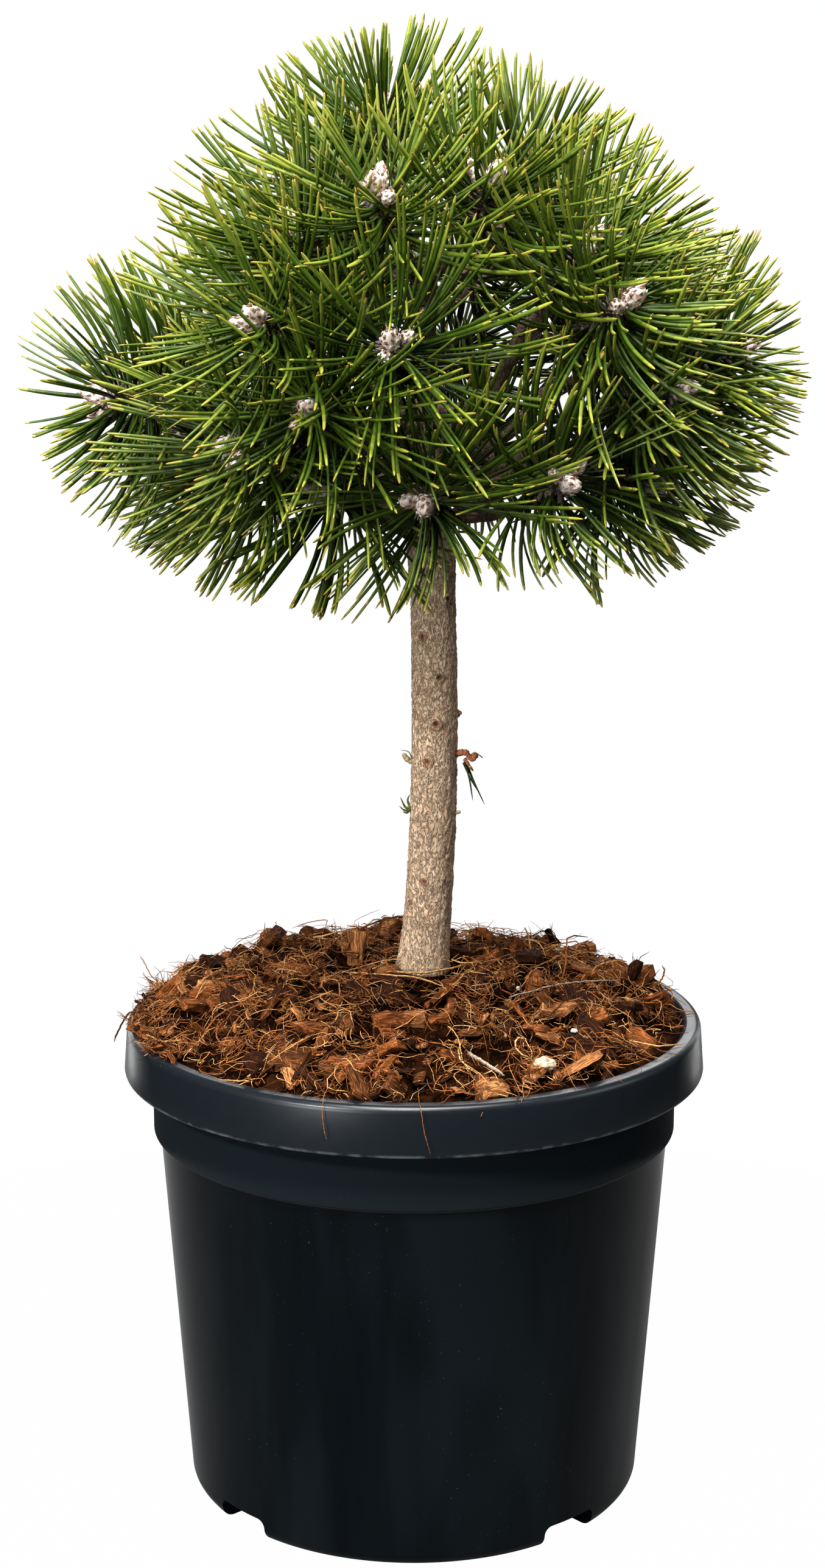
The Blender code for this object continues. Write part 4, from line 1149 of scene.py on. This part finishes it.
def clear_of_trunk(routes):
    """Tells which routes keep out of the trunk."""
    heights = routes[..., 2]
    sampled_heights = np.linspace(TRUNK_FOOT.z, TRUNK_TIP.z, 60)
    centre_x = np.interp(heights, sampled_heights, [trunk_centre(z).x for z in sampled_heights])
    centre_y = np.interp(heights, sampled_heights, [trunk_centre(z).y for z in sampled_heights])
    radius = np.interp(heights, sampled_heights, [trunk_radius(z) for z in sampled_heights])
    distance = np.hypot(routes[..., 0] - centre_x, routes[..., 1] - centre_y)
    inside = (distance < radius + 0.0012) & (heights < TRUNK_TIP.z + 0.002)
    return ~inside.any(axis=1)


def needle_tones(count, offset, rng):
    """The tone of each stretch of each needle: darkest at the root, paler outwards, then lime, a yellow
    stretch and a short golden point. The dark root is partly the needle's own deeper green and partly
    painted shade, and the offset carries painted light by height."""
    share = np.array(NEEDLE_STEPS[1:])[None, :]
    first = offset + rng.uniform(0.0, 1.6, (count, 1))
    gain = rng.uniform(2.8, 5.6, (count, 1))
    tones = np.clip(np.round(first + gain * share ** 2.2), 0, NEEDLE_TONES - 1).astype(int)
    lime, yellow, gold = range(NEEDLE_TONES, NEEDLE_TONES + 3)
    tones[:, -3] = np.where(rng.random(count) < 0.40, lime, tones[:, -4])
    tones[:, -2] = np.where(rng.random(count) < 0.45, yellow, lime)
    tones[:, -1] = np.where(rng.random(count) < 0.50, gold, yellow)
    return tones


def needle_batch(shoot, tone_and_painted_light_offset, rng):
    """The pairs of needles behind one shoot's bud, with their sheaths. They stand out squarely, curve
    forwards all the way, and close neighbours curve alike."""
    count = PAIRS_PER_SHOOT
    share = (np.arange(count) + 0.5) / count
    behind = PAIR_ZONE[0] + (PAIR_ZONE[1] - PAIR_ZONE[0]) * share ** 0.85
    span = (shoot[2] - shoot[1]).length + (shoot[1] - shoot[0]).length
    roots, ahead = along_route(shoot, 1.0 - behind / span)
    reference = np.array((shoot[2] - shoot[0]).orthogonal().normalized())
    side = unit(reference - ahead * (ahead * reference).sum(-1, keepdims=True))
    other = np.cross(ahead, side)
    turn = rng.uniform(0, math.tau) + GOLDEN_TURN * np.arange(count) + rng.normal(0.0, 0.06, count)
    phases = rng.uniform(0, math.tau, 4)
    turn += np.sin(BUNDLES * turn + phases[0]) * 0.75 / BUNDLES
    outward = side * np.cos(turn)[:, None] + other * np.sin(turn)[:, None]
    round_axis = np.cross(ahead, outward)
    last = LEAN_LAST - LEAN_RISE * np.maximum(ahead[:, 2], 0.0)
    lean = LEAN_FIRST + (last - LEAN_FIRST) * share ** 1.2 + rng.normal(0, LEAN_SPREAD, count)
    lean = np.radians(lean + 5.0 * np.sin(2 * turn + phases[1]))
    aim = ahead * np.cos(lean)[:, None] + outward * np.sin(lean)[:, None]
    roots = roots + outward * SHOOT_RADIUS * 0.7
    spin = rng.uniform(0, math.tau, count)
    flat = unit(np.cross(aim, ahead + outward * 0.01))
    apart = flat * np.cos(spin)[:, None] + np.cross(aim, flat) * np.sin(spin)[:, None]
    length = NEEDLE_LENGTH * (1.0 + rng.uniform(-NEEDLE_LENGTH_SPREAD, NEEDLE_LENGTH_SPREAD, count))
    length *= 0.84 + 0.16 * np.minimum(1.0, (1.0 - share) * 4.0)
    length *= 1.0 + NEEDLE_GAIN_IN_FRONT * max(0.0, (CROWN_CENTRE - shoot[2]).normalized().y)
    short = rng.random(count) < 0.05
    length = np.where(short, length * rng.uniform(0.30, 0.55, count), length)
    bend = NEEDLE_BEND + 0.10 * np.sin(3 * turn + phases[2]) + np.where(short, 0.5, 0.0)
    drift = 0.16 * np.sin(2 * turn + phases[3])
    routes, facings = [], []
    for half in (-1.0, 1.0):
        opening = rng.uniform(*NEEDLE_OPENING, count)
        own = length * rng.uniform(0.95, 1.02, count)
        start = roots + apart * half * 0.0004
        headings = [unit(aim + apart * half * opening[:, None])]
        for bend_share in (1.0, 0.8):
            turned = ahead * (bend + rng.normal(0.0, NEEDLE_BEND_SPREAD, count))[:, None]
            turned += round_axis * drift[:, None] + rng.normal(0.0, NEEDLE_SWAY, (count, 3))
            headings.append(unit(headings[-1] + turned * bend_share))
        for _ in range(9):
            controls = [start]
            for heading in headings:
                controls.append(controls[-1] + heading * (own / 3)[:, None])
            own = np.where(outside_share(controls[-1]) > TIP_LIMIT, own * 0.94, own)
        steps = np.array(NEEDLE_STEPS)[None, :, None]
        weights = ((1 - steps) ** 3, 3 * steps * (1 - steps) ** 2, 3 * steps ** 2 * (1 - steps), steps ** 3)
        route = sum(weight * control[:, None, :] for weight, control in zip(weights, controls))
        keep = (outside_share(route).max(axis=1) <= TIP_LIMIT) & (own > 0.015) & clear_of_trunk(route)
        routes.append(route[keep])
        facings.append(apart[keep] * half)
    routes = np.concatenate(routes)
    slots = needle_tones(len(routes), tone_and_painted_light_offset, rng)
    widths = NEEDLE_WIDTH * np.array(NEEDLE_WIDTHS)[None, :] * rng.uniform(0.85, 1.1, (len(routes), 1))
    needles = strands(routes, widths, widths, NEEDLE_SECTION, np.concatenate(facings), slots)
    sheath_length = rng.uniform(0.0040, 0.0070, count)
    sheath_steps = np.array([0.0, 0.3, 0.75, 1.0])
    sheath_routes = roots[:, None, :] + aim[:, None, :] * (sheath_length[:, None] * sheath_steps)[..., None]
    sheath_widths = np.array([0.00080, 0.00105, 0.00098, 0.00078]) * rng.uniform(0.9, 1.15, (count, 1))
    sheath_slots = np.full((count, 3), 1)
    sheaths = strands(sheath_routes, sheath_widths, sheath_widths, round_section(5), apart, sheath_slots)
    return needles, sheaths


def limb_points(points, count):
    """Evenly numbered places along a limb that is given by a few points."""
    stops = np.linspace(0.0, len(points) - 1.0, count)
    columns = np.array([list(point) for point in points])
    return [Vector([np.interp(stop, range(len(points)), columns[:, axis]) for axis in range(3)]) for stop in stops]


def twig_batch(points, radii, rng):
    """One rough twig as a strand of many short rings."""
    route = np.array([list(point) for point in points])[None]
    widths = np.array(radii)[None] * rng.uniform(0.90, 1.12, (1, len(points)))
    facing = np.array([[0.31, 0.95, 0.02]])
    slots = np.zeros((1, len(points) - 1), int)
    return strands(route, widths, widths, round_section(9), facing, slots)


def scale_batch(shoot, rng, count):
    """Ragged leaf bases that stand off a shoot's bark."""
    share = rng.uniform(0.0, 0.96, count)
    roots, ahead = along_route(shoot, share)
    any_side = unit(rng.normal(0, 1, (count, 3)))
    outward = unit(np.cross(ahead, any_side))
    roots = roots + outward * SHOOT_RADIUS * 0.85
    aim = unit(ahead + outward * rng.uniform(0.2, 0.9, (count, 1)))
    length = rng.uniform(0.0015, 0.0034, count)
    steps = np.array([0.0, 0.5, 1.0])
    routes = roots[:, None, :] + aim[:, None, :] * (length[:, None] * steps)[..., None]
    widths = np.array([0.0016, 0.0013, 0.0002]) * rng.uniform(0.7, 1.2, (count, 1))
    heights = np.array([0.0007, 0.0004, 0.0001]) * np.ones((count, 1))
    section = [(-0.5, -0.5), (0.5, -0.5), (0.5, 0.5), (-0.5, 0.5)]
    return strands(routes, widths, heights, section, outward, np.full((count, 2), 1))


def collar_batch(shoot, rng, count=34):
    """The grey papery collar below a bud: ragged flakes that stand off between the needles' sheaths."""
    span = (shoot[2] - shoot[1]).length + (shoot[1] - shoot[0]).length
    roots, ahead = along_route(shoot, 1.0 - rng.uniform(0.0035, 0.0110, count) / span)
    outward = unit(np.cross(ahead, unit(rng.normal(0, 1, (count, 3)))))
    roots = roots + outward * SHOOT_RADIUS * 0.8
    aim = unit(ahead * rng.uniform(0.2, 1.2, (count, 1)) + outward)
    length = rng.uniform(0.0028, 0.0066, count)
    steps = np.array([0.0, 0.35, 0.70, 1.0])
    routes = roots[:, None, :] + aim[:, None, :] * (length[:, None] * steps)[..., None]
    routes = routes + rng.normal(0.0, 0.00022, routes.shape)
    widths = np.array([0.0014, 0.0017, 0.0012, 0.0004]) * rng.uniform(0.6, 1.25, (count, 4))
    heights = np.array([0.0005, 0.0004, 0.0003, 0.0001]) * np.ones((count, 1))
    section = [(-0.5, -0.5), (0.5, -0.5), (0.4, 0.5), (-0.4, 0.5)]
    flakes = strands(routes, widths, heights, section, outward, np.full((count, 3), 2))
    hairs = 44
    roots, ahead = along_route(shoot, 1.0 - rng.uniform(0.0020, 0.0110, hairs) / span)
    outward = unit(np.cross(ahead, unit(rng.normal(0, 1, (hairs, 3)))))
    start = roots + outward * 0.0024
    middle = start + (outward + rng.normal(0.0, 0.7, (hairs, 3))) * 0.0016
    end = middle + (outward * 0.4 + rng.normal(0.0, 0.9, (hairs, 3))) * 0.0016
    routes = np.stack([start, middle, end], axis=1)
    widths = np.array([0.00010, 0.00009, 0.00005]) * rng.uniform(0.8, 1.5, (hairs, 1))
    fluff = strands(routes, widths, widths, round_section(3), ahead, np.full((hairs, 2), 2))
    return [flakes, fluff]


def bud_batch(tip, ahead, length, width, rng):
    """One resinous bud: a blunt spindle wrapped in overlapping pointed scales."""
    steps = np.array([0.0, 0.10, 0.28, 0.5, 0.7, 0.86, 0.95, 1.0])
    profile = np.array([0.62, 0.90, 1.0, 0.96, 0.80, 0.52, 0.28, 0.05]) * width / 2
    facing = np.array(ahead.orthogonal().normalized())[None]
    route = (np.array(tip) + np.array(ahead) * (steps * length)[:, None])[None]
    body = strands(route, profile[None], profile[None], round_section(8), facing, np.zeros((1, 7), int))
    count = 26
    share = (np.arange(count) + 0.5) / count
    turn = GOLDEN_TURN * np.arange(count) + rng.uniform(0, math.tau)
    side = facing[0]
    other = np.cross(np.array(ahead), side)
    outward = side * np.cos(turn)[:, None] + other * np.sin(turn)[:, None]
    low = share * 0.82
    radius = np.interp(low, steps, profile)
    radius_above = np.interp(np.minimum(low + 0.2, 1.0), steps, profile)
    start = np.array(tip) + np.array(ahead) * (low * length)[:, None] + outward * (radius * 0.86)[:, None]
    end_radius = radius_above * 1.06 + 0.0002
    end = np.array(tip) + np.array(ahead) * (np.minimum(low + 0.24, 1.02) * length)[:, None]
    end = end + outward * end_radius[:, None]
    middle = (start + end) / 2 + outward * 0.00035
    routes = np.stack([start, middle, end], axis=1)
    widths = np.array([0.30, 0.34, 0.06]) * width * (1.0 - 0.45 * share)[:, None]
    heights = np.array([0.0005, 0.0004, 0.0001]) * np.ones((count, 1))
    section = [(-0.5, -0.35), (0.5, -0.35), (0.22, 0.5), (-0.22, 0.5)]
    slots = np.where(rng.random((count, 2)) < 0.5, 0, 1)
    slots[:, 1] = np.where(rng.random(count) < 0.45, 2, 0)
    scales = strands(routes, widths, heights, section, outward, slots)
    return [body, scales]


def make_mass(mass, number, greens, twigs, buds):
    rng = np.random.default_rng([SEED, number])
    needles, wood, resin = [], [], []
    stem = limb_points(mass.stem, 22)
    wood.append(twig_batch(stem, [BOUGH_TIP_RADIUS] * 22, rng))
    for order, shoot in enumerate(mass.shoots):
        # Painted light: the height term makes the needles of higher shoots paler, as the crown's top is lit; the random
        # term is the shoots' own variety.
        tone_and_painted_light_offset = rng.uniform(-0.4, 0.9) + (shoot[2].z - CROWN_CENTRE.z) * 9.0
        leaves, sheaths = needle_batch(shoot, tone_and_painted_light_offset, np.random.default_rng([SEED, number, order]))
        needles.append(leaves)
        wood.append(sheaths)
        route = [bezier(shoot, step / 27) for step in range(28)]
        wood.append(twig_batch(route, np.linspace(SHOOT_RADIUS * 1.05, SHOOT_RADIUS * 0.9, 28), rng))
        wood.append(scale_batch(shoot, rng, 70))
        wood += collar_batch(shoot, rng)
        ahead = (shoot[2] - shoot[1]).normalized()
        start = shoot[2] - ahead * BUD_LENGTH * 0.40
        resin += bud_batch(start, ahead, BUD_LENGTH * float(rng.uniform(0.75, 1.0)), 0.0074, rng)
        for _ in range(rng.integers(1, 3)):
            any_way = Vector(rng.normal(0.0, 1.0, 3))
            sideways = (any_way - ahead * any_way.dot(ahead)).normalized()
            beside = (ahead + sideways * float(rng.uniform(0.5, 1.1))).normalized()
            size = float(rng.uniform(0.66, 0.90))
            foot = start + sideways * 0.0028 - ahead * 0.0005
            resin += bud_batch(foot, beside, BUD_LENGTH * size, 0.0070 * size, rng)
    name = mass.name
    add_piece("needles_" + name, strand_mesh("needles_" + name, *needles), "needles", greens, "foliage_" + name)
    add_piece("twigs_" + name, strand_mesh("twigs_" + name, *wood), "bark", twigs)
    add_piece("buds_" + name, strand_mesh("buds_" + name, *resin), "bark", buds)


def make_bough(mass, material):
    root = mass.bough[0] - (mass.bough[1] - mass.bough[0]).normalized() * 0.0020
    end = mass.bough[-1] + (mass.bough[-1] - mass.bough[-2]).normalized() * 0.0008
    points = limb_points([root, *mass.bough[1:-1], end], 60)
    radii = [BOUGH_RADIUS + (BOUGH_TIP_RADIUS - BOUGH_RADIUS) * step / 59 for step in range(60)]
    mesh = limb_mesh("bark_bough_" + mass.name, points, radii, 22, 0.00030, 0.0012)
    add_piece("bark_bough_" + mass.name, mesh, "bark", [material], "bough_" + mass.name)


def make_crown():
    rng = random.Random(SEED)
    masses = [Mass(name, bearings, rng) for name, bearings in MASSES.items()]
    greens = []
    for tone in range(NEEDLE_TONES):
        share = tone / (NEEDLE_TONES - 1)
        colour = Vector(NEEDLE_DARK).lerp(Vector(NEEDLE_GREEN), min(1.0, 2 * share))
        colour = colour.lerp(Vector(NEEDLE_PALE), max(0.0, 2 * share - 1))
        greens.append(needle_skin(f"needle_green_{tone}", tuple(colour), 0.12 + 0.36 * share))
    greens.append(needle_skin("needle_lime", NEEDLE_LIME))
    greens.append(needle_skin("needle_yellow", NEEDLE_YELLOW))
    greens.append(needle_skin("needle_gold", NEEDLE_GOLD))
    # Painted shade: twigs and boughs take a copy of the bark at under a third of its brightness, standing for the shade
    # inside the crown.
    shaded_twig_bark = bark("shaded_twig_bark", 0.0, 0.30)
    twigs = [
        shaded_twig_bark,
        grained("sheath_paper", (0.20, 0.155, 0.115), (0.36, 0.29, 0.22), 1200.0),
        grained("collar_paper", (0.17, 0.155, 0.14), (0.40, 0.37, 0.34), 1200.0),
    ]
    buds = [
        resin_bud(),
        grained("bud_scale", (0.56, 0.42, 0.35), (0.74, 0.64, 0.58), 900.0, 0.6),
        grained("bud_scale_tip", (0.24, 0.10, 0.050), (0.46, 0.30, 0.22), 900.0, 0.6),
    ]
    for number, mass in enumerate(masses):
        if mass.bough:
            make_bough(mass, shaded_twig_bark)
        make_mass(mass, number, greens, twigs, buds)


# Studio

def make_floor():
    shape = bmesh.new()
    bmesh.ops.create_circle(shape, cap_ends=True, segments=180, radius=0.42)
    bmesh.ops.translate(shape, vec=(0.0, 0.0, -0.0002), verts=shape.verts)
    mesh = bpy.data.meshes.new("studio_floor")
    shape.to_mesh(mesh)
    shape.free()
    floor = helper("studio_floor", mesh)
    mesh.materials.append(floor_paint())


def soft_light(name, place, target, size, power, tint=(1.0, 1.0, 1.0)):
    lamp = bpy.data.lights.new(name, "AREA")
    lamp.shape = "RECTANGLE"
    lamp.size = size[0]
    lamp.size_y = size[1]
    lamp.energy = power
    lamp.color = tint
    made = bpy.data.objects.new(name, lamp)
    made.location = place
    aim = Vector(target) - Vector(place)
    made.rotation_euler = aim.to_track_quat("-Z", "Y").to_euler()
    made.visible_camera = False
    bpy.context.scene.collection.objects.link(made)


def sun_light(name, heading, lift, strength, spread):
    """A far lamp from a heading and a lift, which lights the floor as evenly as the plant."""
    lamp = bpy.data.lights.new(name, "SUN")
    lamp.energy = strength
    lamp.angle = math.radians(spread)
    made = bpy.data.objects.new(name, lamp)
    turn = math.radians(heading)
    rise = math.radians(lift)
    away = Vector((math.sin(turn) * math.cos(rise), -math.cos(turn) * math.cos(rise), math.sin(rise)))
    made.rotation_euler = away.to_track_quat("Z", "Y").to_euler()
    bpy.context.scene.collection.objects.link(made)


def make_world():
    """White where the view sees it, and softer as a light."""
    world = bpy.data.worlds.new("studio")
    bpy.context.scene.world = world
    world.use_nodes = True
    nodes = world.node_tree.nodes
    links = world.node_tree.links
    light = nodes["Background"]
    light.inputs["Color"].default_value = (1.0, 1.0, 1.0, 1.0)
    light.inputs["Strength"].default_value = 0.03
    seen = nodes.new("ShaderNodeBackground")
    seen.inputs["Color"].default_value = (1.0, 1.0, 1.0, 1.0)
    seen.inputs["Strength"].default_value = 1.0
    path = nodes.new("ShaderNodeLightPath")
    either = nodes.new("ShaderNodeMixShader")
    links.new(path.outputs["Is Camera Ray"], either.inputs[0])
    links.new(light.outputs[0], either.inputs[1])
    links.new(seen.outputs[0], either.inputs[2])
    links.new(either.outputs[0], nodes["World Output"].inputs["Surface"])


def make_studio():
    make_floor()
    make_world()
    sun_light("above", -8.0, 60.0, 2.9, 12.0)
    sun_light("key", -40.0, 35.0, 3.1, 8.0)
    sun_light("front", -36.0, 5.0, 2.2, 24.0)
    sun_light("right", 82.0, 26.0, 0.7, 30.0)
    sun_light("back", 172.0, 32.0, 1.2, 30.0)
    for name, side, power in (("strip_left", -1.0, 3.4), ("strip_right", 1.0, 2.2)):
        soft_light(name, (side * 0.84, 1.26, 0.30), (0.0, 0.0, 0.20), (0.020, 1.3), power)
    soft_light("rim_glow", (0.0, -0.5, 2.0), (0.0, 0.0, 0.2), (1.0, 0.20), 60.0)


def make_camera():
    lens = bpy.data.cameras.new("camera")
    lens.lens = VIEW_LENS
    lens.sensor_width = 36.0
    lens.clip_start = 0.05
    camera = bpy.data.objects.new("camera", lens)
    camera.location = VIEW_PLACE
    camera.rotation_euler = (math.radians(90.0 - VIEW_DOWN), 0.0, 0.0)
    bpy.context.scene.collection.objects.link(camera)
    bpy.context.scene.camera = camera
    bpy.context.scene.view_settings.view_transform = "Standard"


make_camera()
make_studio()
make_pot()
make_coir()
make_trunk(bark("trunk_bark", 0.1, 0.95))
make_stem_shoots()
make_crown()

bpy.context.view_layer.update()
